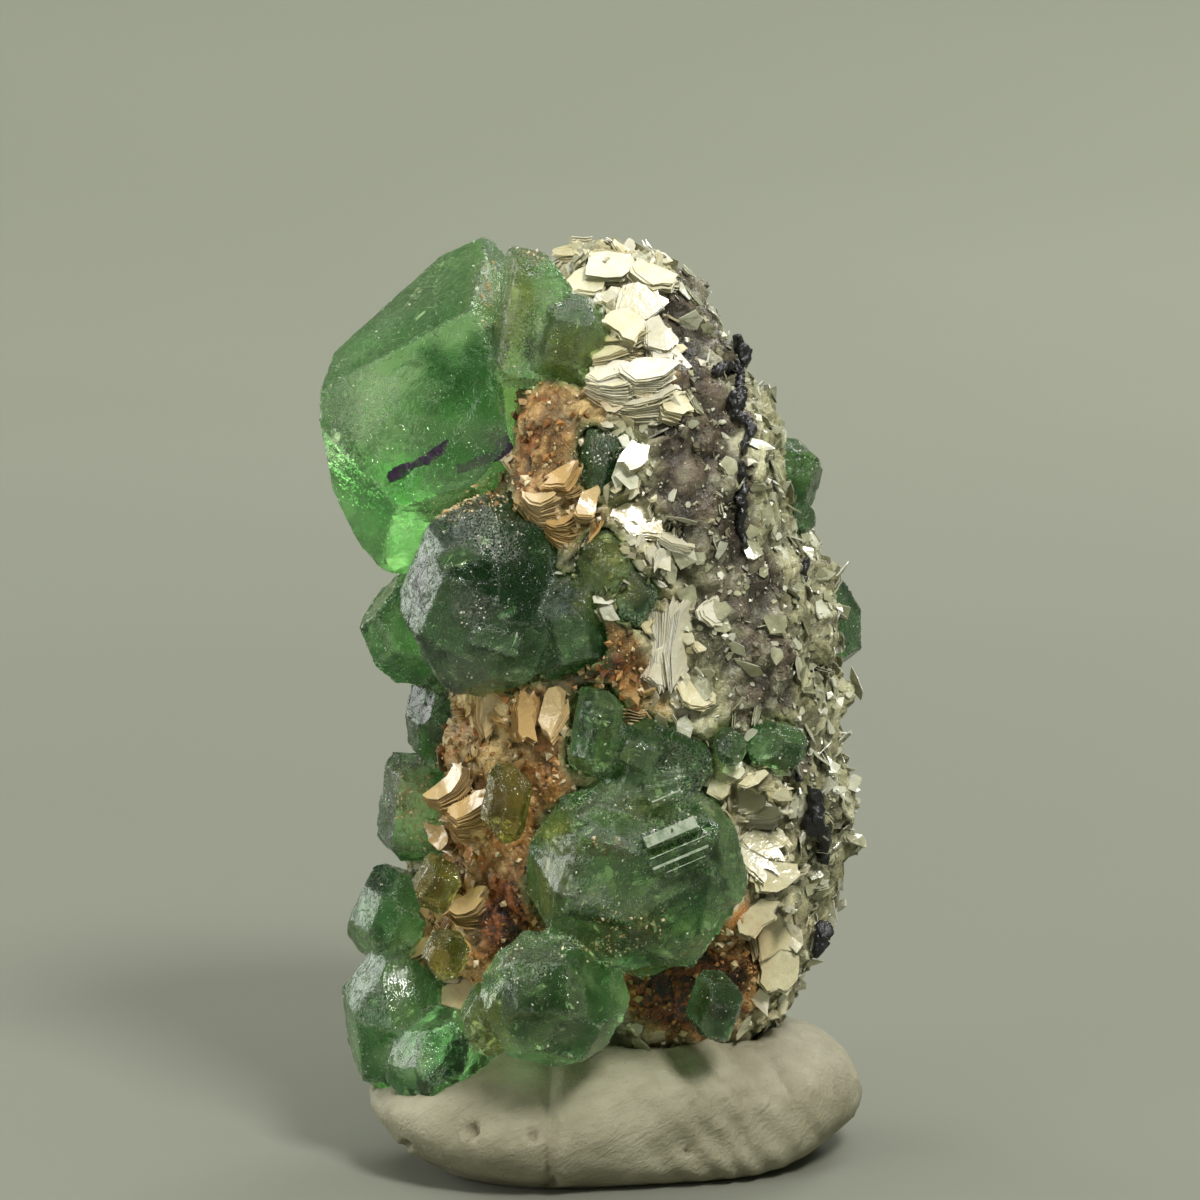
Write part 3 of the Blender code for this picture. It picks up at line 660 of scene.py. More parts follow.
def putty_material():
    """Pale putty with a faint bloom, painted shade in its pits and specks of lint."""
    shader = Shader("putty", Specular_IOR_Level=0.35, Subsurface_Weight=0.15, Subsurface_Scale=0.6 * MM)
    shader.surface.inputs["Subsurface Radius"].default_value = (1.0, 0.9, 0.7)
    clouds = shader.noise(2.4, 4, 0.6)
    fine = shader.noise(0.16, 4, 0.65)
    specks = shader.cells(0.9)
    colour = shader.ramp(clouds, (0.3, rgb(134, 130, 107)), (0.5, rgb(147, 143, 120)), (0.7, rgb(162, 158, 136)))
    # Painted shade: the putty is darkened where it sinks, by its relief height.
    shade = shader.between(shader.attribute("relief"), 0.0, 0.5, 0.35, 0.0)
    colour = shader.mix(shade, colour, rgb(110, 100, 76))
    colour = shader.mix(shader.between(specks, 0.0, 0.07, 0.8, 0.0), colour, rgb(108, 104, 92))
    shader.feed(shader.surface.inputs["Base Color"], colour)
    shader.feed(shader.surface.inputs["Roughness"], shader.between(fine, 0.3, 0.7, 0.5, 0.72))
    smears = shader.noise(0.5, 5, 0.7, 0.8, shader.turned(32, 3.5))
    shader.bump((clouds, 0.07), (smears, 0.12), (fine, 0.045))
    return shader.material


def floor_material():
    shader = Shader("floor", Specular_IOR_Level=0.2, Roughness=0.8)
    clouds = shader.noise(90.0, 2, 0.5)
    away = shader.nodes.new("ShaderNodeVectorMath")
    away.operation = "LENGTH"
    shader.links.new(shader.place, away.inputs[0])
    # Painted shade: the floor is darker near the specimen and paler far from it.
    far = shader.between(away.outputs["Value"], 20.0, 420.0)
    near_colour = shader.ramp(clouds, (0.3, rgb(117, 119, 107)), (0.7, rgb(120, 122, 110)))
    far_colour = shader.ramp(clouds, (0.3, rgb(152, 156, 140)), (0.7, rgb(155, 159, 143)))
    colour = shader.mix(far, near_colour, far_colour)
    shader.feed(shader.surface.inputs["Base Color"], colour)
    return shader.material


# The rock.


def add_matrix(crystals):
    """The rock: lumps of grains where it is stained, and flat flaky ground for the mica. Under crystals it is painted
    with shade and glow: dark, with paler patches.
    """
    mesh = refined("matrix_rock", solid_of("matrix"), MATRIX_VOXEL)
    points, normals = points_of(mesh), normals_of(mesh)
    kinds = zones(points)
    bent = points + 0.35 * np.stack([ripple(points, 0.8, seed) for seed in (2, 3, 4)], axis=1)
    lump, lump_number = grain_field(bent, 1.25, 5)
    grain, grain_number = grain_field(bent, 0.50, 6)
    crumb, _ = grain_field(points, 0.27, 9)
    grainy = np.clip(kinds["stain"] + kinds["rust"] + 0.4 * kinds["smoky"], 0, 1)
    height = 0.20 * rough(points, 2.4, 2, 1) + (0.36 + 0.34 * kinds["smoky"]) * (lump - 0.6)
    height += (0.08 + 0.14 * grainy) * (grain - 0.55) + 0.10 * (crumb - 0.5) + 0.12 * (lump_number - 0.5)
    height += 0.10 * grainy * (grain_number - 0.5)
    shared, packet = packets(points)
    line = np.sum(points * unit(shared[:, :3]), axis=1)
    height += 0.16 * (1 - grainy) * (line / 0.42 - np.floor(line / 0.42) - 0.5)
    points = points + normals * (height - 0.05)[:, None]
    move_points(mesh, points)
    for name, values in kinds.items():
        add_attribute(mesh, name, values)
    # The relief height, which the rock's material turns into painted shade in hollows.
    add_attribute(mesh, "relief", np.clip(0.5 + height * 1.6, 0, 1))
    add_attribute(mesh, "tone", 0.4 * packet + 0.35 * lump_number + 0.25 * grain_number)
    add_attribute(mesh, "line", line + 40 * packet)
    # Where crystals lie over the rock, for the painted shade and glow under them.
    add_attribute(mesh, "covered", smooth_step(-0.55, -0.15, depth_inside(crystals, points)))
    new_piece("matrix_rock", mesh, matrix_material(), ["matrix"])
    return mesh


# Mica in sheets.


class Sheets(NamedTuple):
    """Books of mica, one row of each array to a book. Every book is a stack of thin sheets."""

    centre: np.ndarray
    normal: np.ndarray
    heading: np.ndarray
    half_length: np.ndarray
    half_width: np.ndarray
    pitch: np.ndarray
    curl: np.ndarray
    fan: np.ndarray


def sheet_arrays(books, layers, corners, rings, rng):
    """Points, triangles and values of all the books. The sheets of a book share its ragged outline, a little slipped."""
    count = len(books.centre)
    side = unit(np.cross(books.normal, books.heading))
    heading = unit(np.cross(side, books.normal))
    angle = np.linspace(0, 2 * math.pi, corners, endpoint=False)
    angle = angle + rng.uniform(-0.42, 0.42, (count, 1, corners)) * 6 / corners
    angle = angle + rng.uniform(-0.06, 0.06, (count, layers, corners)) * 6 / corners
    reach = rng.uniform(0.66, 1.12, (count, 1, corners)) * rng.uniform(0.88, 1.06, (count, layers, corners))
    reach = reach * rng.uniform(0.84, 1.0, (count, layers, 1))
    ring = np.arange(1, rings + 1) / rings
    flat_x = reach[..., None, :] * np.cos(angle)[..., None, :] * ring[:, None]
    flat_y = reach[..., None, :] * np.sin(angle)[..., None, :] * ring[:, None]
    flat_x = np.concatenate([np.zeros((count, layers, 1)), flat_x.reshape(count, layers, -1)], axis=2)
    flat_y = np.concatenate([np.zeros((count, layers, 1)), flat_y.reshape(count, layers, -1)], axis=2)
    length = books.half_length[:, None, None]
    width = books.half_width[:, None, None]
    slip = rng.uniform(-0.08, 0.08, (2, count, layers, 1))
    x = (flat_x + slip[0]) * length
    y = (flat_y + slip[1]) * width
    layer = np.arange(layers)[None, :, None] - (layers - 1) / 2
    wave = rng.uniform(-1, 1, (count, layers, 1)) * 0.25
    lift = books.curl[:, None, None] * (flat_x**2 + 0.4 * wave * flat_y) * length
    lift = lift + layer * books.pitch[:, None, None]
    opened = layer * books.fan[:, None, None]
    z = lift + np.sin(opened) * (x + length)
    x = (x + length) * np.cos(opened) - length
    thick = books.pitch[:, None, None] * 0.36
    top = np.stack([x, y, z + thick], axis=-1)
    bottom = np.stack([x, y, z - thick], axis=-1)
    local = np.concatenate([top, bottom], axis=2)
    axes = np.stack([heading, side, unit(books.normal)], axis=1)
    points = books.centre[:, None, None, :] + np.einsum("blvk,bkj->blvj", local, axes)
    pattern = sheet_pattern(corners, rings)
    per_sheet = 2 * (1 + corners * rings)
    starts = np.arange(count * layers) * per_sheet
    triangles = (starts[:, None, None] + pattern[None]).reshape(-1, 3)
    tone = np.repeat(np.clip(rng.random((count, 1)) + rng.uniform(-0.15, 0.15, (count, layers)), 0, 1), per_sheet)
    line = np.concatenate([y, y], axis=2) + 0.4 * np.concatenate([x, x], axis=2) * rng.uniform(-0.4, 0.4, (count, 1, 1))
    line = line + rng.uniform(0, 50, (count, 1, 1))
    return points.reshape(-1, 3), triangles, {"tone": tone, "line": line.ravel()}


def sheet_pattern(corners, rings):
    """The triangles of one sheet: its top, its underside and its edge."""
    under = 1 + corners * rings
    faces = []
    for i in range(corners):
        j = (i + 1) % corners
        top = [(0, 1 + i, 1 + j)]
        for ring in range(1, rings):
            inner, outer = 1 + (ring - 1) * corners, 1 + ring * corners
            top += [(inner + i, outer + i, outer + j), (inner + i, outer + j, inner + j)]
        faces += top
        faces += [(under + a, under + c, under + b) for a, b, c in top]
        last = 1 + (rings - 1) * corners
        faces += [(last + i, under + last + i, under + last + j), (last + i, under + last + j, last + j)]
    return np.array(faces)


# The pieces.


class LargeBook(NamedTuple):
    """A mica book that stands out: its place, facing to the right, up and towards the camera, and its sheets."""

    across: float
    up: float
    facing: tuple
    spin: float
    half_length: float
    half_width: float
    sheets: int
    pitch: float
    curl: float
    fan: float


LARGE_BOOKS = {
    "mica_silver": (
        LargeBook(1.55, 2.95, (0.20, 0.35, 0.90), -24, 1.30, 0.86, 17, 0.030, 0.07, 0.006),
        LargeBook(2.9, 2.1, (0.30, 0.85, 0.45), -8, 0.75, 0.48, 11, 0.028, 0.03, 0.008),
    ),
    "mica_crown_left": (
        LargeBook(-0.5, 12.1, (-0.15, 0.60, 0.80), 12, 1.15, 0.90, 15, 0.033, 0.11, 0.007),
        LargeBook(-1.2, 13.3, (-0.10, 0.90, 0.40), 20, 1.10, 0.72, 13, 0.030, 0.07, 0.008),
    ),
    "mica_crown_right": (
        LargeBook(1.4, 11.2, (0.35, 0.40, 0.85), 34, 1.25, 0.96, 17, 0.033, 0.10, 0.008),
        LargeBook(2.1, 10.2, (0.45, 0.25, 0.85), -30, 0.85, 0.72, 13, 0.030, 0.14, 0.006),
    ),
    "mica_upper_fold": (
        LargeBook(1.1, 9.6, (0.10, 0.80, 0.60), -14, 1.35, 0.74, 23, 0.039, 0.08, 0.025),
        LargeBook(0.3, 9.0, (0.00, 0.90, 0.45), 8, 0.95, 0.60, 19, 0.033, 0.07, 0.028),
    ),
    "mica_centre_fold": (
        LargeBook(1.6, 7.1, (0.00, 0.82, 0.55), -10, 1.35, 0.72, 23, 0.036, 0.10, 0.025),
        LargeBook(0.6, 7.9, (0.10, 0.85, 0.50), 14, 1.10, 0.54, 19, 0.033, 0.07, 0.030),
    ),
    "mica_upright": (
        LargeBook(2.45, -1.5, (0.80, 0.05, 0.60), 84, 2.05, 0.84, 27, 0.033, 0.07, 0.017),
        LargeBook(2.1, -2.6, (0.55, 0.05, 0.85), 78, 1.15, 0.60, 19, 0.030, 0.10, 0.022),
    ),
    "mica_fan_upper": tuple(
        LargeBook(5.2 + 0.9 * math.cos(a), -8.4 + 0.9 * math.sin(a), (0.2, 0.5, 0.8), math.degrees(a),
                  1.15, 0.41, 13, 0.033, 0.07, 0.033)
        for a in (0.15, 0.5, 0.85, 1.2)
    ),
    "mica_fan_lower": tuple(
        LargeBook(5.2 + 0.9 * math.cos(a), -9.3 + 0.9 * math.sin(a), (0.4, 0.2, 0.9), math.degrees(a),
                  1.10, 0.43, 13, 0.033, 0.07, 0.033)
        for a in (-1.1, -0.75, -0.4, -0.05)
    ),
    "mica_left_foot": (
        LargeBook(-6.0, -15.9, (-0.35, 0.45, 0.80), -30, 1.45, 0.90, 23, 0.036, 0.13, 0.022),
        LargeBook(-5.7, -14.7, (-0.20, 0.70, 0.65), -38, 1.10, 0.60, 19, 0.033, 0.10, 0.028),
    ),
    "mica_right_foot": (
        LargeBook(6.5, -12.6, (0.55, 0.10, 0.80), 70, 1.50, 1.08, 17, 0.033, 0.08, 0.009),
        LargeBook(6.7, -14.2, (0.45, 0.00, 0.90), 60, 1.05, 0.96, 15, 0.033, 0.11, 0.009),
    ),
}


class Twig(NamedTuple):
    """A crooked run of schorl over the rock, through places across and up, with its half thickness."""

    places: tuple
    radius: float


SCHORLS = {
    "schorl_spray": (
        Twig(((5.05, 9.6), (5.15, 9.3)), 0.35),
        Twig(((5.0, 9.05), (4.75, 8.8), (4.3, 8.55)), 0.20),
        Twig(((5.2, 9.1), (5.3, 8.2), (5.5, 7.3)), 0.23),
        Twig(((4.9, 7.8), (5.3, 7.1), (5.65, 6.5), (5.6, 5.8)), 0.22),
    ),
    "schorl_fork": (
        Twig(((5.4, 5.0), (5.25, 3.9), (5.3, 2.7)), 0.22),
        Twig(((5.3, 3.3), (5.5, 2.1)), 0.17),
    ),
    "schorl_needle": (
        Twig(((7.66, 1.35), (7.7, 1.2)), 0.18),
        Twig(((7.82, 0.85), (7.42, -0.25)), 0.10),
    ),
    "schorl_upper_chunk": (
        Twig(((7.5, -6.6), (7.55, -6.75)), 0.18),
        Twig(((7.9, -7.2), (8.1, -7.9), (8.2, -8.5)), 0.34),
        Twig(((8.1, -8.3), (7.85, -8.8)), 0.21),
    ),
    "schorl_middle_chunk": (Twig(((8.35, -9.0), (8.45, -9.7)), 0.29),),
    "schorl_lower_chunk": (Twig(((8.2, -12.8), (8.35, -13.5)), 0.38),),
}

# Marks on the fluorite: white crust with some painted sheen, yellow-green and purple zones, and brown stain.
FROST_AND_SHEEN = (
    Patch(-2.7, 13.1, 1.0, 0.6),
    Patch(-1.4, 11.5, 1.3, 0.5, -8),
    Patch(-3.0, 9.8, 0.8, 1.8),
    # These two paint the whitish sheen of the large crystal's left face: painted highlight.
    Patch(-9.7, 7.4, 1.3, 1.7, -20),
    Patch(-8.6, 7.6, 1.4, 0.9, 25),
    Patch(-4.4, 12.2, 0.5, 0.9),
    Patch(-4.9, -0.4, 0.9, 0.7),
    Patch(-4.5, 2.6, 1.9, 0.9, -20),
    Patch(-2.6, -13.7, 1.6, 1.0, 14),
    Patch(3.4, -7.0, 1.0, 1.5),
    # Painted highlight along a cleavage ledge of the front crystal.
    Patch(2.6, -8.5, 1.5, 0.35, 24),
    Patch(-0.1, -7.8, 1.3, 0.7, 10),
    Patch(-0.6, -11.3, 1.2, 0.45, -15),
    Patch(0.3, 5.9, 0.7, 0.8),
)
YELLOW = (
    Patch(-1.0, 9.2, 1.5, 1.9),
    Patch(-3.4, 10.4, 0.7, 3.4),
    Patch(0.2, 1.0, 1.4, 1.6),
    Patch(-1.6, -10.0, 1.0, 2.2, -14),
    Patch(-4.4, -16.2, 1.0, 1.2),
    Patch(1.6, -8.0, 1.2, 0.6),
)
PURPLE = (
    Patch(-6.1, -4.5, 1.6, 2.0),
    Patch(-7.0, 0.6, 0.35, 1.2),
    Patch(-8.6, -10.9, 0.9, 0.6),
    Patch(-6.8, -6.2, 1.3, 0.5),
)
BROWN = (
    Patch(-7.1, -7.9, 0.9, 1.5),
    Patch(0.4, -9.6, 0.9, 0.5, -20),
    Patch(0.6, -12.9, 1.8, 0.9, 20),
    Patch(-4.4, 4.2, 2.3, 0.6, 28),
    Patch(-4.35, 11.9, 0.4, 1.1),
    Patch(-2.6, 13.2, 0.5, 0.35),
)
# Painted shade: deep green where the dark rock lies close behind.
DEEP_SHADE = (
    Patch(-5.0, 9.0, 2.4, 1.5, 28),
    Patch(-4.0, 9.4, 0.9, 1.6),
    Patch(-8.9, 11.0, 0.6, 2.0, -50),
    Patch(-4.6, 3.4, 1.5, 0.7, -20),
    Patch(-3.8, 0.6, 1.3, 1.5),
    Patch(3.8, -10.2, 1.5, 1.2, 20),
    Patch(3.0, -9.3, 1.6, 0.5, 20),
    Patch(-2.6, -15.8, 1.2, 1.0),
    Patch(-2.9, 10.4, 0.5, 2.6),
    Patch(4.4, -15.6, 1.5, 1.8),
)
# Painted light: pale green where light comes through.
PALE_GLOW = (
    Patch(-7.6, 6.4, 2.4, 1.3, -10),
    Patch(-9.0, 7.6, 1.4, 2.2, -20),
    Patch(-7.4, 8.2, 1.8, 0.8, -10),
    Patch(-6.0, 4.3, 2.2, 0.8, 12),
    Patch(-5.0, 6.4, 1.4, 0.6),
    Patch(-7.2, 11.8, 2.4, 0.8, 42),
    Patch(-4.4, -2.8, 2.2, 0.8),
    Patch(2.0, -11.4, 1.5, 0.7, 15),
    Patch(3.6, -13.4, 1.2, 0.5, 15),
    Patch(0.9, -7.6, 0.9, 0.6),
    Patch(-7.6, -14.6, 0.5, 1.6),
    Patch(-7.4, -17.6, 1.2, 0.6),
    Patch(-7.3, -7.2, 0.8, 1.4),
    Patch(0.5, 1.1, 1.3, 1.3),
    Patch(-1.6, -16.6, 1.0, 0.6),
)
MARKS = {"frost": FROST_AND_SHEEN, "yellow": YELLOW, "purple": PURPLE, "brown": BROWN, "deep": DEEP_SHADE, "pale": PALE_GLOW}


def add_fluorite(node, look, material):
    """A fluorite cluster: flat faces in low blocky steps, etched finely all over."""
    shape = solid_of(node, ADDED_BLOCKS.get(node, ()))
    faces = BVHTree.FromBMesh(shape)
    mesh = refined(node + "_crystal", shape, look.voxel)
    found = [faces.find_nearest(Vector(point) * MM) for point in points_of(mesh)]
    move_points(mesh, np.array([place for place, _, _, _ in found]) / MM)
    facing = np.array([normal for _, normal, _, _ in found])
    facet_edges = sharp_edges(mesh, 12)
    points, normals = points_of(mesh), normals_of(mesh)
    _, block = grain_field(points, 1.3, 21)
    _, small_block = grain_field(points, 0.45, 22)
    steps = (block - 0.5) * 1.6 + (small_block - 0.5) * 0.9
    hillocks = 0.6 * rough(points, 0.30, 2, 23)
    points = points + normals * ((steps + hillocks) * look.etching)[:, None]
    move_points(mesh, points)
    add_attribute(mesh, "facet", hashed(np.round(facing * 9), 24))
    for name, patches in MARKS.items():
        add_attribute(mesh, name, patch_mask(points, patches, len(name), 0.7, 0.9, (0.35, 1.25)) * 0.9)
    add_attribute(mesh, "edge", nearness_to_edges(mesh, facet_edges))
    set_sharp_edges(mesh, facet_edges | sharp_edges(mesh, 40))
    new_piece(node + "_crystal", mesh, material, [node])
    return mesh


def block_corners(across, up, depth, half, turn):
    """The corners of a block turned by turn degrees in the picture's plane."""
    angle = math.radians(turn)
    along = VIEW_RIGHT * math.cos(angle) + VIEW_UP * math.sin(angle)
    over = VIEW_UP * math.cos(angle) - VIEW_RIGHT * math.sin(angle)
    middle = seen_at(across, up, depth)
    return [
        middle + along * half[0] * x + over * half[1] * y + VIEW_FORWARD * half[2] * z
        for x, y, z in itertools.product((-1, 1), repeat=3)
    ]


def facet_corners(*corners):
    """Corners across, up and deep in the picture as corners of a solid."""
    return [seen_at(*corner) for corner in corners]


class Step(NamedTuple):
    """A cleavage step: the middle of its face in the picture, half its size, and half the height of its strip of
    painted highlight.
    """

    across: float
    up: float
    half_length: float
    half_height: float
    bright: float


# The front crystals' cleavage steps and large facets.
CLEAVAGE_TURN = 23
CLEAVAGE_FACE = -8.15
CLEAVAGE_HALF_DEPTH = 1.3
CLEAVAGE_STEPS = (
    Step(2.55, -7.65, 0.62, 0.14, 0.030),
    Step(2.72, -8.98, 1.10, 0.27, 0.210),
    Step(3.05, -9.62, 1.28, 0.15, 0.018),
    Step(3.10, -9.98, 1.20, 0.13, 0.050),
    Step(3.30, -10.28, 0.85, 0.13, 0.015),
)
FRONT_FACETS = facet_corners(
    (-2.7, -9.3, -5.0), (-2.1, -12.7, -5.0), (0.9, -14.0, -5.0), (3.6, -14.2, -5.0), (5.2, -12.0, -5.0),
    (5.2, -8.9, -5.0), (2.0, -6.7, -5.0), (-1.4, -7.4, -5.0),
    (-0.9, -9.0, -7.35), (2.6, -10.1, -7.95), (4.3, -10.6, -7.3), (1.0, -12.4, -8.0), (-1.2, -11.9, -7.1),
)
FOOT_FACETS = facet_corners(
    (-4.6, -14.4, -4.8), (-2.9, -12.6, -4.8), (0.2, -13.4, -4.8), (1.0, -16.2, -4.7), (-1.4, -17.3, -4.7),
    (-4.3, -16.6, -4.7), (-3.3, -13.9, -6.9), (-1.2, -14.0, -7.0), (-1.2, -16.0, -7.5), (-3.2, -15.8, -7.2),
)
ADDED_BLOCKS = {
    "fluorite_front": [
        FRONT_FACETS,
        FOOT_FACETS,
        block_corners(2.1, -7.35, -5.7, (1.1, 0.16, 1.2), 20),
        block_corners(2.5, -6.8, -5.5, (0.8, 0.20, 1.1), 12),
        block_corners(1.5, -6.0, -5.5, (0.7, 0.45, 1.0), -24),
    ]
    + [
        block_corners(
            step.across,
            step.up,
            CLEAVAGE_FACE + CLEAVAGE_HALF_DEPTH,
            (step.half_length, step.half_height, CLEAVAGE_HALF_DEPTH),
            CLEAVAGE_TURN,
        )
        for step in CLEAVAGE_STEPS
    ],
    "fluorite_middle": [
        block_corners(-5.4, 1.6, -6.2, (0.8, 0.5, 0.9), 30),
        block_corners(-4.0, -1.6, -6.5, (0.9, 0.4, 0.9), -16),
    ],
}


def sharp_edges(mesh, degrees):
    """Which of a mesh's edges are folded by more than this."""
    mesh.set_sharp_from_angle(angle=math.radians(degrees))
    sharp = np.zeros(len(mesh.edges), dtype=bool)
    if "sharp_edge" in mesh.attributes:
        mesh.attributes["sharp_edge"].data.foreach_get("value", sharp)
    return sharp


def set_sharp_edges(mesh, sharp):
    if "sharp_edge" not in mesh.attributes:
        mesh.attributes.new("sharp_edge", "BOOLEAN", "EDGE")
    mesh.attributes["sharp_edge"].data.foreach_set("value", sharp)


def nearness_to_edges(mesh, sharp):
    """1 at the vertices of the sharp edges, falling away over their neighbours."""
    ends = np.empty(len(mesh.edges) * 2, dtype=np.int32)
    mesh.edges.foreach_get("vertices", ends)
    first, second = ends.reshape(-1, 2).T
    near = np.zeros(len(mesh.vertices))
    near[first[sharp]] = 1.0
    near[second[sharp]] = 1.0
    total = np.bincount(first, near[second], len(near)) + np.bincount(second, near[first], len(near))
    count = np.bincount(first, minlength=len(near)) + np.bincount(second, minlength=len(near))
    return np.maximum(near * 0.8, total / np.maximum(count, 1))


def tree_of(meshes):
    """A search tree of several meshes."""
    shape = bmesh.new()
    for mesh in meshes:
        shape.from_mesh(mesh)
    tree = BVHTree.FromBMesh(shape)
    shape.free()
    return tree


def rock_point(tree, across, up):
    """Where the camera's ray at this place meets the rock, and the rock's normal there."""
    camera = VIEW_CENTRE - VIEW_FORWARD * VIEW_DISTANCE
    ray = Vector(seen_at(across, up, 0) - camera).normalized()
    place, normal, _, _ = tree.ray_cast(Vector(camera) * MM, ray)
    if place is None:
        place, normal, _, _ = tree.find_nearest(Vector(seen_at(across, up, 0)) * MM)
    return np.array(place) / MM, np.array(normal)


GOLD_FOLDS = (
    LargeBook(-1.4, 4.4, (-0.1, 0.6, 0.8), 28, 0.90, 0.45, 14, 0.034, 0.37, 0.05),
    LargeBook(-2.3, 3.4, (0.1, 0.7, 0.7), -20, 0.85, 0.40, 14, 0.034, 0.42, 0.07),
    LargeBook(-0.6, 3.4, (0.2, 0.5, 0.8), 60, 0.80, 0.45, 12, 0.034, 0.32, 0.05),
    LargeBook(-1.3, 2.5, (0.0, 0.8, 0.6), 5, 0.95, 0.40, 14, 0.034, 0.37, 0.07),
    LargeBook(-4.4, -4.0, (0.3, 0.1, 0.9), 80, 1.30, 0.51, 18, 0.034, 0.29, 0.05),
    LargeBook(-3.1, -4.6, (0.3, 0.2, 0.9), 98, 1.20, 0.45, 16, 0.034, 0.29, 0.05),
    LargeBook(-1.7, -4.6, (-0.2, 0.3, 0.9), 76, 1.10, 0.45, 16, 0.034, 0.32, 0.05),
    LargeBook(-5.5, -7.6, (-0.3, 0.6, 0.7), 22, 1.10, 0.56, 18, 0.037, 0.51, 0.05),
    LargeBook(-5.0, -8.6, (-0.1, 0.7, 0.7), 8, 1.20, 0.56, 18, 0.037, 0.48, 0.05),
    LargeBook(-5.8, -9.4, (-0.4, 0.3, 0.8), -42, 1.00, 0.51, 16, 0.037, 0.51, 0.05),
    LargeBook(-6.6, -11.8, (-0.6, 0.3, 0.7), 70, 1.20, 0.56, 18, 0.037, 0.37, 0.05),
    LargeBook(-6.4, -13.6, (-0.5, 0.4, 0.7), -70, 1.10, 0.51, 16, 0.037, 0.42, 0.05),
    LargeBook(-5.0, -12.0, (0.0, 0.6, 0.8), 30, 0.90, 0.45, 14, 0.034, 0.42, 0.07),
    LargeBook(1.6, -4.5, (0.1, 0.7, 0.7), 12, 0.95, 0.45, 14, 0.034, 0.32, 0.07),
)
CREAM_FOLDS = (
    LargeBook(0.4, 12.6, (0.0, 0.7, 0.7), -20, 1.20, 0.83, 14, 0.030, 0.09, 0.02),
    LargeBook(1.9, 12.3, (0.3, 0.6, 0.7), -38, 1.10, 0.75, 14, 0.030, 0.09, 0.02),
    LargeBook(0.2, 11.1, (0.1, 0.4, 0.9), 48, 0.95, 0.75, 14, 0.030, 0.11, 0.02),
    LargeBook(1.0, 10.4, (0.1, 0.5, 0.8), -60, 1.00, 0.83, 14, 0.030, 0.11, 0.02),
    LargeBook(2.4, 9.2, (0.4, 0.4, 0.8), -48, 1.10, 0.75, 14, 0.030, 0.14, 0.03),
    LargeBook(1.7, 8.4, (0.2, 0.7, 0.7), -8, 1.20, 0.75, 16, 0.030, 0.14, 0.04),
    LargeBook(0.4, 8.4, (0.0, 0.8, 0.6), 12, 0.95, 0.68, 14, 0.030, 0.14, 0.04),
    LargeBook(2.7, 7.4, (0.4, 0.5, 0.8), -30, 0.95, 0.68, 14, 0.030, 0.14, 0.03),
    LargeBook(1.3, 5.4, (0.2, 0.4, 0.9), 66, 0.80, 0.60, 10, 0.030, 0.09, 0.02),
    LargeBook(4.2, -0.5, (0.6, 0.2, 0.8), 74, 0.80, 0.60, 10, 0.030, 0.09, 0.02),
    LargeBook(3.7, -3.6, (0.4, 0.5, 0.8), -30, 0.85, 0.75, 8, 0.030, 0.05, 0.01),
    LargeBook(6.4, -10.6, (0.5, 0.2, 0.8), 15, 1.10, 0.68, 12, 0.030, 0.11, 0.04),
    LargeBook(5.9, -12.2, (0.4, 0.1, 0.9), 40, 1.00, 0.68, 12, 0.030, 0.11, 0.04),
)


def book_mesh(name, books, rock_tree, rng):
    """One mesh of all the books, each laid on the rock where the camera sees its place."""
    parts = []
    for book in books:
        place, _ = rock_point(rock_tree, book.across, book.up)
        right, up, towards = book.facing
        normal = unit(VIEW_RIGHT * right + VIEW_UP * up - VIEW_FORWARD * towards)
        turn = math.radians(book.spin)
        heading = VIEW_RIGHT * math.cos(turn) + VIEW_UP * math.sin(turn)
        stack = Sheets(
            centre=(place + normal * 0.08)[None],
            normal=normal[None],
            heading=heading[None],
            half_length=np.array([book.half_length]),
            half_width=np.array([book.half_width]),
            pitch=np.array([book.pitch]),
            curl=np.array([book.curl]),
            fan=np.array([book.fan]),
        )
        parts.append(sheet_arrays(stack, book.sheets, 12, 2, rng))
    points, triangles, values = joined(parts)
    mesh = mesh_of(name, points, triangles)
    for key, numbers in values.items():
        add_attribute(mesh, key, numbers)
    add_attribute(mesh, "stain", zones(points)["stain"] * 0.6)
    mesh.set_sharp_from_angle(angle=math.radians(40))
    return mesh


def add_large_books(rock_tree, cream, gold, rng):
    for node, books in LARGE_BOOKS.items():
        mesh = book_mesh(node + "_sheets", books, rock_tree, rng)
        new_piece(node + "_sheets", mesh, cream, [node])
    new_piece("cream_folds", book_mesh("cream_folds", CREAM_FOLDS, rock_tree, rng), cream)
    new_piece("gold_folds", book_mesh("gold_folds", GOLD_FOLDS, rock_tree, rng), gold)


def joined(parts):
    """Points, triangles and values of several shapes as those of one."""
    start = 0
    triangles = []
    for points, faces, _ in parts:
        triangles.append(faces + start)
        start += len(points)
    values = {name: np.concatenate([part[2][name] for part in parts]) for name in parts[0][2]}
    return np.concatenate([part[0] for part in parts]), np.concatenate(triangles), values


class Growth(NamedTuple):
    """How one kind of mica covers the rock."""

    count: int
    half_length: tuple
    narrow: tuple
    pitch: float
    sheets: int
    tilt: float
    curl: float
    fan: float


GROWTHS = {
    "silver": Growth(2100, (0.14, 0.75), (0.50, 0.95), 0.034, 2, 0.50, 0.14, 0.04),
    "cream": Growth(950, (0.20, 0.70), (0.40, 0.80), 0.034, 3, 0.60, 0.35, 0.06),
    "gold": Growth(440, (0.30, 0.90), (0.28, 0.60), 0.040, 5, 0.90, 0.50, 0.08),
    "dust": Growth(2200, (0.05, 0.17), (0.50, 0.95), 0.020, 1, 1.30, 0.10, 0.00),
}


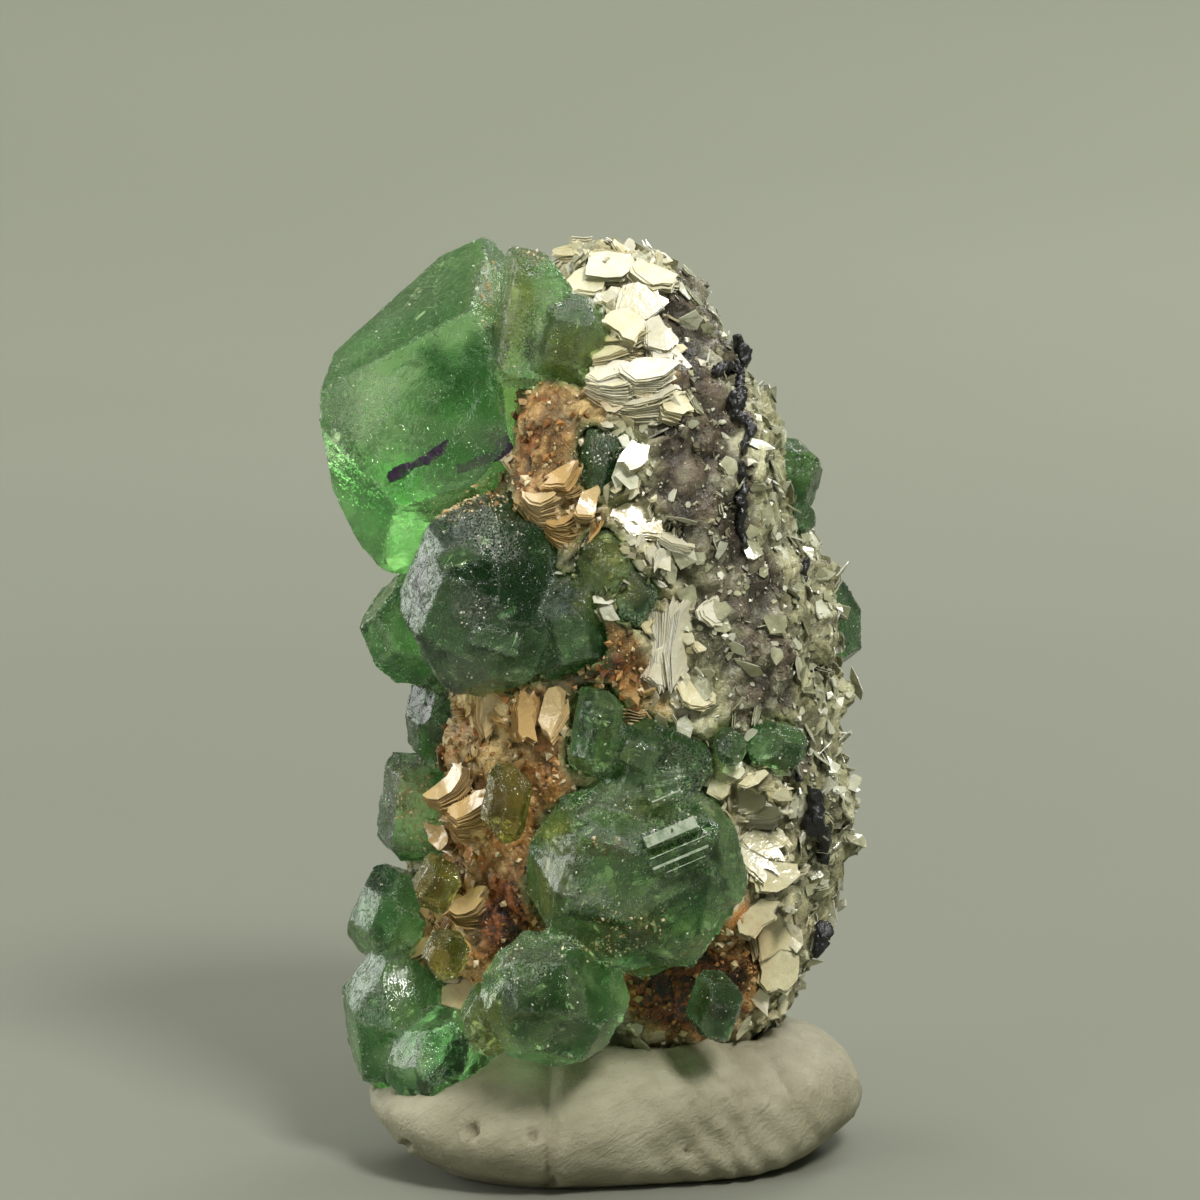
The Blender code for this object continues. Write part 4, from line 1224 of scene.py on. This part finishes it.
def growth_weight(kind, kinds):
    stained = np.clip(kinds["stain"] + kinds["rust"], 0, 1)
    if kind == "gold":
        return kinds["gold"] * (1 - kinds["rust"]) + 0.03 * stained
    if kind == "cream":
        return kinds["cream"] * (1 - stained)
    if kind == "dust":
        return (1 - stained) * 0.5 + kinds["smoky"] * 0.5 + stained * 0.12
    return (1 - stained) * (1 - kinds["cream"] * 0.7) * (1 - kinds["smoky"] * 0.55)


def add_mica(kind, growth, rock, crystals, material, rng):
    """Small books of one kind, over the rock where that kind grows and no crystal is."""
    points, normals = scattered(rock, growth.count * 6, rng)
    weight = growth_weight(kind, zones(points))
    kept = rng.random(len(points)) < weight
    points, normals = points[kept], normals[kept]
    free = depth_inside(crystals, points) < -0.05
    above_putty = points[:, 2] > 4.6
    points, normals = (values[free & above_putty][: growth.count] for values in (points, normals))
    count = len(points)
    shared, _ = packets(points)
    normal = unit(normals + growth.tilt * (shared[:, :3] + rng.normal(0, 0.22, (count, 3))))
    shortest, longest = growth.half_length
    length = shortest + (longest - shortest) * rng.random(count) ** 1.8
    books = Sheets(
        centre=points + normals * (0.04 + 0.14 * length)[:, None],
        normal=normal,
        heading=unit(shared[:, 3:] + rng.normal(0, 0.25, (count, 3))),
        half_length=length,
        half_width=length * rng.uniform(*growth.narrow, count),
        pitch=growth.pitch * rng.uniform(0.6, 1.3, count),
        curl=growth.curl * rng.normal(0, 1, count),
        fan=growth.fan * rng.normal(0, 1, count),
    )
    points, triangles, values = sheet_arrays(books, growth.sheets, 6, 1, rng)
    mesh = mesh_of("flakes_" + kind, points, triangles)
    kinds = zones(points)
    for name, numbers in values.items():
        add_attribute(mesh, name, numbers)
    add_attribute(mesh, "stain", np.clip(kinds["stain"] + 0.5 * kinds["gold"], 0, 1))
    new_piece("flakes_" + kind, mesh, material, smooth=False)


def blocks(points, sizes, flat, rng):
    """Small eight-sided grains, one at each point."""
    corners = np.array([(1, 0, 0), (0, 1, 0), (0, 0, 1), (-1, 0, 0), (0, -1, 0), (0, 0, -1)], dtype=float)
    faces = np.array([(0, 1, 2), (1, 3, 2), (3, 4, 2), (4, 0, 2), (1, 0, 5), (3, 1, 5), (4, 3, 5), (0, 4, 5)])
    count = len(points)
    frames, _ = np.linalg.qr(rng.normal(0, 1, (count, 3, 3)))
    frames[np.linalg.det(frames) < 0, :, 0] *= -1
    spread = sizes[:, None, None] * rng.uniform(0.6, 1.2, (count, 6, 1)) * corners
    spread = spread + sizes[:, None, None] * rng.uniform(-0.25, 0.25, (count, 6, 3))
    spread[:, :, 2] *= flat
    placed = points[:, None, :] + np.einsum("bvk,bjk->bvj", spread, frames)
    triangles = (np.arange(count)[:, None, None] * 6 + faces[None]).reshape(-1, 3)
    tone = np.repeat(rng.random(count), 6)
    return placed.reshape(-1, 3), triangles, tone


def add_grains(rock, crystals, material, rng):
    """Sugary grains over the stained and the smoky rock."""
    points, normals = scattered(rock, 60000, rng)
    kinds = zones(points)
    weight = np.clip(kinds["stain"] + kinds["rust"] + 0.35 * kinds["smoky"] + 0.06, 0, 1) * 0.6
    kept = (rng.random(len(points)) < weight) & (points[:, 2] > 4.6)
    points, normals = points[kept][:7000], normals[kept][:7000]
    free = depth_inside(crystals, points) < -0.02
    points, normals = points[free], normals[free]
    sizes = 0.04 + 0.20 * rng.random(len(points)) ** 3
    placed, triangles, tone = blocks(points + normals * (sizes * 0.4)[:, None], sizes, 0.8, rng)
    mesh = mesh_of("matrix_grains", placed, triangles)
    kinds = zones(placed)
    add_attribute(mesh, "tone", np.clip(tone - 0.35 * kinds["rust"] - 0.4 * kinds["smoky"], 0, 1))
    add_attribute(mesh, "stain", np.clip(kinds["stain"] + kinds["rust"], 0, 1))
    new_piece("matrix_grains", mesh, material, smooth=False)


def add_crust_and_glints(meshes, material, rng):
    """White specks and crust on the fluorite: partly real crust, partly painted glints and sheen of its etched faces.
    """
    found = []
    for mesh in meshes:
        points, normals = scattered(mesh, 9000, rng)
        crusted = patch_mask(points, FROST_AND_SHEEN, 5, 0.7, 0.8) + patch_mask(points, BROWN, 6, 0.8, 0.7)
        weight = 0.05 + 0.9 * crusted * (rough(points, 0.5, 2, 31) > -0.2)
        kept = rng.random(len(points)) < weight * min(1.0, len(mesh.vertices) / 15000)
        found.append(points[kept] + normals[kept] * 0.01)
    points = np.concatenate(found)
    orange = patch_mask(points, BROWN, 6, 0.8, 0.7)
    sizes = (0.012 + 0.05 * rng.random(len(points)) ** 3) * (1 + 0.9 * orange)
    placed, triangles, tone = blocks(points, sizes, 0.5, rng)
    mesh = mesh_of("fluorite_crust_and_glints", placed, triangles)
    add_attribute(mesh, "tone", 0.4 + 0.6 * tone)
    add_attribute(mesh, "stain", patch_mask(placed, BROWN, 6, 0.8, 0.7))
    new_piece("fluorite_crust_and_glints", mesh, material, smooth=False)


def add_schorls(rock_tree, material, rng):
    """Black twigs of short prisms grown together, over the rock."""
    for node, twigs in SCHORLS.items():
        shape = bmesh.new()
        for twig in twigs:
            places = [rock_point(rock_tree, across, up) for across, up in twig.places]
            route = np.array([place + normal * twig.radius * 1.35 for place, normal in places])
            for start, end in zip(route, route[1:]):
                steps = max(2, round(np.linalg.norm(end - start) / (twig.radius * 0.9)) + 1)
                for share in np.linspace(0, 1, steps):
                    middle = start + (end - start) * share + rng.normal(0, 0.22, 3) * twig.radius
                    half = twig.radius * rng.uniform(0.90, 1.35)
                    reach = rng.normal(0, 1, (9, 3))
                    corners = middle + unit(reach) * half * np.array([1.0, 1.0, 1.35])
                    added = [shape.verts.new(Vector(corner) * MM) for corner in corners]
                    bmesh.ops.convex_hull(shape, input=added)
        loose = [vertex for vertex in shape.verts if not vertex.link_faces]
        bmesh.ops.delete(shape, geom=loose, context="VERTS")
        mesh = refined(node + "_twigs", shape, 0.06)
        points, normals = points_of(mesh), normals_of(mesh)
        nearness, _ = grain_field(points, 0.24, 51)
        points = points + normals * (0.05 * (nearness - 0.5))[:, None]
        move_points(mesh, points)
        new_piece(node + "_twigs", mesh, material, [node])


def add_putty():
    """The lump of putty: pressed flat, with a crease, stretch marks, soft folds and burst bubbles."""
    mesh = refined("putty_lump", solid_of("putty_base"), PUTTY_VOXEL)
    points, normals = points_of(mesh), normals_of(mesh)
    across, up, depth = as_seen(points).T
    front = 1 - smooth_step(-1.0, 2.5, depth)
    height = 0.16 * rough(points, 3.2, 3, 61) + 0.03 * rough(points, 0.5, 2, 64)
    crease = across + 1.9 + 0.35 * ripple(points, 1.3, 66)
    height -= 0.22 * np.exp(-((crease / 0.22) ** 2)) * front
    height += 0.12 * np.exp(-(((crease - 0.5) / 0.5) ** 2)) * front
    slanted = (across - 4.5) * 0.75 + (up + 20.6) * 0.66
    marks = np.exp(-(((across - 5.0) / 2.6) ** 2)) * front
    height += 0.10 * np.sin(slanted * 6.5 + 1.5 * ripple(points, 1.5, 67)) * marks
    fold = (across - 7.6) * 0.80 + (up + 19.2) * 0.45
    height -= 0.20 * np.exp(-((fold / 0.16) ** 2)) * front
    for hole_across, hole_up, radius in PUTTY_HOLES:
        gap = np.hypot(across - hole_across, up - hole_up) / radius
        height -= 0.34 * np.exp(-(gap**4)) * front
        height += 0.07 * np.exp(-(((gap - 1.35) / 0.35) ** 2)) * front
    low = smooth_step(0.0, 0.5, points[:, 2])
    moved = points + normals * (height * low)[:, None]
    moved[:, 2] = np.maximum(moved[:, 2], 0.0)
    move_points(mesh, moved)
    add_attribute(mesh, "relief", np.clip(0.5 + 1.5 * height, 0, 1))
    new_piece("putty_lump", mesh, putty_material(), ["putty_base"])


# Burst bubbles in the putty's side: across, up and half width.
PUTTY_HOLES = ((-4.92, -20.4, 0.30), (-2.54, -20.6, 0.26), (-7.46, -20.95, 0.20), (3.4, -21.3, 0.12))


class Bar(NamedTuple):
    """A run of dark blocks under the large crystal's face, from one place to another, of a half width."""

    start: tuple
    end: tuple
    half_width: float
    blocks: int


LARGE_FACE_DEPTH = -3.56
PHANTOM_BARS = (
    Bar((-8.05, 4.75), (-7.35, 5.10), 0.27, 44),
    Bar((-7.35, 5.10), (-6.70, 5.40), 0.15, 12),
    Bar((-6.75, 5.35), (-5.95, 5.90), 0.27, 48),
    Bar((-5.45, 5.00), (-4.60, 5.30), 0.20, 16),
    Bar((-4.75, 5.30), (-3.45, 5.85), 0.24, 60),
    Bar((-3.95, 6.00), (-3.60, 6.20), 0.10, 10),
)


def add_phantom_bars(rng):
    """The dark purple blocks of an older growth zone, just under the large crystal's face."""
    shader = Shader("phantom", Roughness=0.5, Specular_IOR_Level=0.3)
    clouds = shader.noise(0.15, 3, 0.6)
    colour = shader.ramp(clouds, (0.35, rgb(20, 13, 28)), (0.6, rgb(46, 32, 54)), (0.8, rgb(96, 82, 98)))
    shader.feed(shader.surface.inputs["Base Color"], colour)
    shape = bmesh.new()
    for bar in PHANTOM_BARS:
        (across, up), (end_across, end_up) = bar.start, bar.end
        turn = math.degrees(math.atan2(end_up - up, end_across - across))
        for _ in range(bar.blocks):
            share, off = rng.random(), rng.uniform(-0.7, 0.7) * bar.half_width
            place = (across + (end_across - across) * share, up + (end_up - up) * share + off)
            depth = LARGE_FACE_DEPTH - 0.17 * (place[0] + 7.0) + rng.uniform(0.0, 0.08)
            half = (rng.uniform(0.06, 0.17), rng.uniform(0.05, 0.12), rng.uniform(0.02, 0.06))
            corners = [shape.verts.new(Vector(c) * MM) for c in block_corners(*place, depth, half, turn)]
            bmesh.ops.convex_hull(shape, input=corners)
    mesh = bpy.data.meshes.new("phantom_bars")
    shape.to_mesh(mesh)
    shape.free()
    new_piece("phantom_bars", mesh, shader.material, smooth=False)


def add_cleavage_highlights():
    """Painted highlights: pale strips standing in for the bright edges of the cleavage steps on the front crystal."""
    shader = Shader("cleavage", Roughness=0.12, Specular_IOR_Level=0.8, Transmission_Weight=0.55, IOR=1.434)
    clouds = shader.noise(0.3, 4, 0.7)
    colour = shader.ramp(clouds, (0.35, rgb(150, 176, 140)), (0.55, rgb(226, 236, 214)), (0.75, rgb(250, 252, 244)))
    shader.feed(shader.surface.inputs["Base Color"], colour)
    shape = bmesh.new()
    for step in CLEAVAGE_STEPS:
        up = step.up + step.half_height - step.bright
        half = (step.half_length * 0.94, step.bright, 0.04)
        corners = block_corners(step.across, up, CLEAVAGE_FACE + 0.02, half, CLEAVAGE_TURN)
        added = [shape.verts.new(Vector(corner) * MM) for corner in corners]
        bmesh.ops.convex_hull(shape, input=added)
    mesh = bpy.data.meshes.new("cleavage_highlights")
    shape.to_mesh(mesh)
    shape.free()
    new_piece("cleavage_highlights", mesh, shader.material, smooth=False)


def add_inclusions(nodes, meshes, material, rng):
    """Healed cracks and flecks inside the clear crystals, in thin flakes along their cleavage."""
    parts = []
    for node, mesh in zip(nodes, meshes):
        count = INCLUSIONS.get(node, 0)
        if not count:
            continue
        points, normals = scattered(mesh, count, rng)
        points = points - normals * rng.uniform(0.12, 1.1, (count, 1))
        inside = depth_inside(tree_of([mesh]), points) > 0.1
        points = points[inside]
        count = len(points)
        facing = unit(np.array(CLEAVAGES)[rng.integers(0, len(CLEAVAGES), count)] + rng.normal(0, 0.08, (count, 3)))
        length = 0.05 + 0.40 * rng.random(count) ** 3
        books = Sheets(
            centre=points,
            normal=facing,
            heading=unit(rng.normal(0, 1, (count, 3))),
            half_length=length,
            half_width=length * rng.uniform(0.2, 0.6, count),
            pitch=np.full(count, 0.012),
            curl=0.2 * rng.normal(0, 1, count),
            fan=np.zeros(count),
        )
        parts.append(sheet_arrays(books, 1, 6, 1, rng))
    points, triangles, values = joined(parts)
    mesh = mesh_of("fluorite_inclusions", points, triangles)
    add_attribute(mesh, "tone", 0.5 + 0.5 * values["tone"])
    add_attribute(mesh, "stain", np.zeros(len(points)))
    new_piece("fluorite_inclusions", mesh, material, smooth=False)


CLEAVAGES = ((0.45, -0.70, 0.55), (-0.75, -0.40, 0.55), (0.20, 0.55, 0.80))
INCLUSIONS = {
    "fluorite_large": 110,
    "fluorite_middle": 260,
    "fluorite_left_column": 120,
    "fluorite_lower_left": 120,
    "fluorite_front": 300,
    "fluorite_right_edge": 30,
}


# The studio.


def add_camera():
    data = bpy.data.cameras.new("camera")
    data.sensor_width = SENSOR
    data.lens = SENSOR * VIEW_DISTANCE / FRAME_WIDTH
    data.clip_start = 0.01
    camera = bpy.data.objects.new("camera", data)
    camera.location = Vector(VIEW_CENTRE - VIEW_FORWARD * VIEW_DISTANCE) * MM
    camera.rotation_euler = (math.radians(90) - VIEW_ELEVATION, 0, 0)
    bpy.context.scene.collection.objects.link(camera)
    bpy.context.scene.camera = camera


class Lamp(NamedTuple):
    """A soft square lamp: its direction from the specimen, distance, side, power and colour."""

    direction: tuple
    distance: float
    side: float
    power: float
    colour: tuple


LAMPS = {
    "ceiling": Lamp((0.0, 0.02, 1.0), 620, 640, 2.8, (1.0, 1.0, 0.98)),
    "key": Lamp((0.30, -0.62, 0.72), 330, 75, 1.10, (1.0, 0.985, 0.95)),
    "fill": Lamp((-0.72, -0.62, 0.30), 330, 130, 0.26, (1.0, 0.99, 0.96)),
    "back": Lamp((0.45, 0.70, 0.55), 340, 140, 0.50, (1.0, 0.99, 0.96)),
    "rim": Lamp((-0.80, 0.35, 0.15), 300, 220, 0.75, (0.98, 1.0, 0.97)),
}


def add_lamps():
    for name, lamp in LAMPS.items():
        data = bpy.data.lights.new(name, "AREA")
        data.size = lamp.side * MM
        data.energy = lamp.power
        data.color = lamp.colour
        light = bpy.data.objects.new(name, data)
        direction = Vector(lamp.direction).normalized()
        light.location = (Vector(VIEW_CENTRE) + direction * lamp.distance) * MM
        light.rotation_euler = direction.to_track_quat("Z", "Y").to_euler()
        bpy.context.scene.collection.objects.link(light)


def add_surroundings():
    world = bpy.data.worlds.new("studio")
    world.use_nodes = True
    background = world.node_tree.nodes["Background"]
    background.inputs["Color"].default_value = (0.93, 0.97, 0.82, 1)
    background.inputs["Strength"].default_value = 0.09
    bpy.context.scene.world = world
    mesh = bpy.data.meshes.new("floor")
    shape = bmesh.new()
    profile = [(0, 0), (240, 0), (300, 4), (360, 18), (420, 50), (460, 100), (480, 170), (486, 260)]
    steps = 64
    rings = []
    for radius, height in profile:
        ring = [
            shape.verts.new((radius * MM * math.cos(a), radius * MM * math.sin(a), height * MM))
            for a in (2 * math.pi * i / steps for i in range(steps if radius else 1))
        ]
        rings.append(ring)
    for inner, outer in zip(rings, rings[1:]):
        for i in range(steps):
            j = (i + 1) % steps
            if len(inner) == 1:
                shape.faces.new((inner[0], outer[i], outer[j]))
            else:
                shape.faces.new((inner[i], outer[i], outer[j], inner[j]))
    shape.to_mesh(mesh)
    shape.free()
    mesh.polygons.foreach_set("use_smooth", np.full(len(mesh.polygons), True))
    floor = bpy.data.objects.new("floor", mesh)
    mesh.materials.append(floor_material())
    bpy.context.scene.collection.objects.link(floor)
    scene = bpy.context.scene
    scene.view_settings.view_transform = "Standard"
    scene.cycles.max_bounces = 7
    scene.cycles.diffuse_bounces = 2
    scene.cycles.glossy_bounces = 3
    scene.cycles.transmission_bounces = 7


def main():
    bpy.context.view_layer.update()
    rng = np.random.default_rng(7)
    materials = {
        "large": fluorite_material("fluorite_large", 0.94, rgb(208, 247, 188), rgb(136, 208, 124),
                                   rgb(244, 248, 234), (0.40, 0.88, 0.30, 1), 55, 0.7),
        "green": fluorite_material("fluorite_green", 0.93, rgb(174, 220, 154), rgb(72, 132, 68),
                                   rgb(240, 244, 228), (0.36, 0.78, 0.28, 1), 80, 0.9),
        "clear": fluorite_material("fluorite_clear", 0.94, rgb(196, 234, 170), rgb(84, 148, 78),
                                   rgb(244, 248, 234), (0.38, 0.80, 0.28, 1), 55, 0.5),
        "frosted": fluorite_material("fluorite_frosted", 0.91, rgb(158, 200, 146), rgb(60, 102, 60),
                                     rgb(232, 238, 226), (0.32, 0.70, 0.34, 1), 85, 1.1),
        "olive": fluorite_material("fluorite_olive", 0.92, rgb(190, 184, 96), rgb(130, 126, 52),
                                   rgb(220, 216, 176), (0.56, 0.62, 0.12, 1), 200, 0.9),
    }
    crystals = [add_fluorite(node, look, materials[look.material]) for node, look in FLUORITES.items()]
    tree = tree_of(crystals)
    rock = add_matrix(tree)
    rock_tree = tree_of([rock])
    add_phantom_bars(rng)
    add_cleavage_highlights()
    pearl = mica_material("mica_pearl", rgb(140, 140, 106), rgb(196, 196, 162), rgb(236, 237, 218))
    cream = mica_material("mica_cream", rgb(212, 199, 148), rgb(238, 231, 194), rgb(250, 248, 232))
    gold = mica_material("mica_gold", rgb(190, 150, 84), rgb(228, 196, 134), rgb(242, 228, 186))
    add_large_books(rock_tree, cream, gold, rng)
    for kind, material in (("silver", pearl), ("cream", cream), ("gold", gold), ("dust", pearl)):
        add_mica(kind, GROWTHS[kind], rock, tree, material, rng)
    grain = grain_material()
    add_grains(rock, tree, grain, rng)
    add_crust_and_glints(crystals, grain, rng)
    add_inclusions(FLUORITES, crystals, grain, rng)
    add_schorls(rock_tree, schorl_material(), rng)
    add_putty()
    add_camera()
    add_lamps()
    add_surroundings()


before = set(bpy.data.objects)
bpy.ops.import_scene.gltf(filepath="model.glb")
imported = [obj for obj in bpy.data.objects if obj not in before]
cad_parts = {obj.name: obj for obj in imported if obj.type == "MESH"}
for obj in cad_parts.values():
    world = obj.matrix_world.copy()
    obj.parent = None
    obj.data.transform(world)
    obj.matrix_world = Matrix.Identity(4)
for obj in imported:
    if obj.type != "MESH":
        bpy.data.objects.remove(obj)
main()
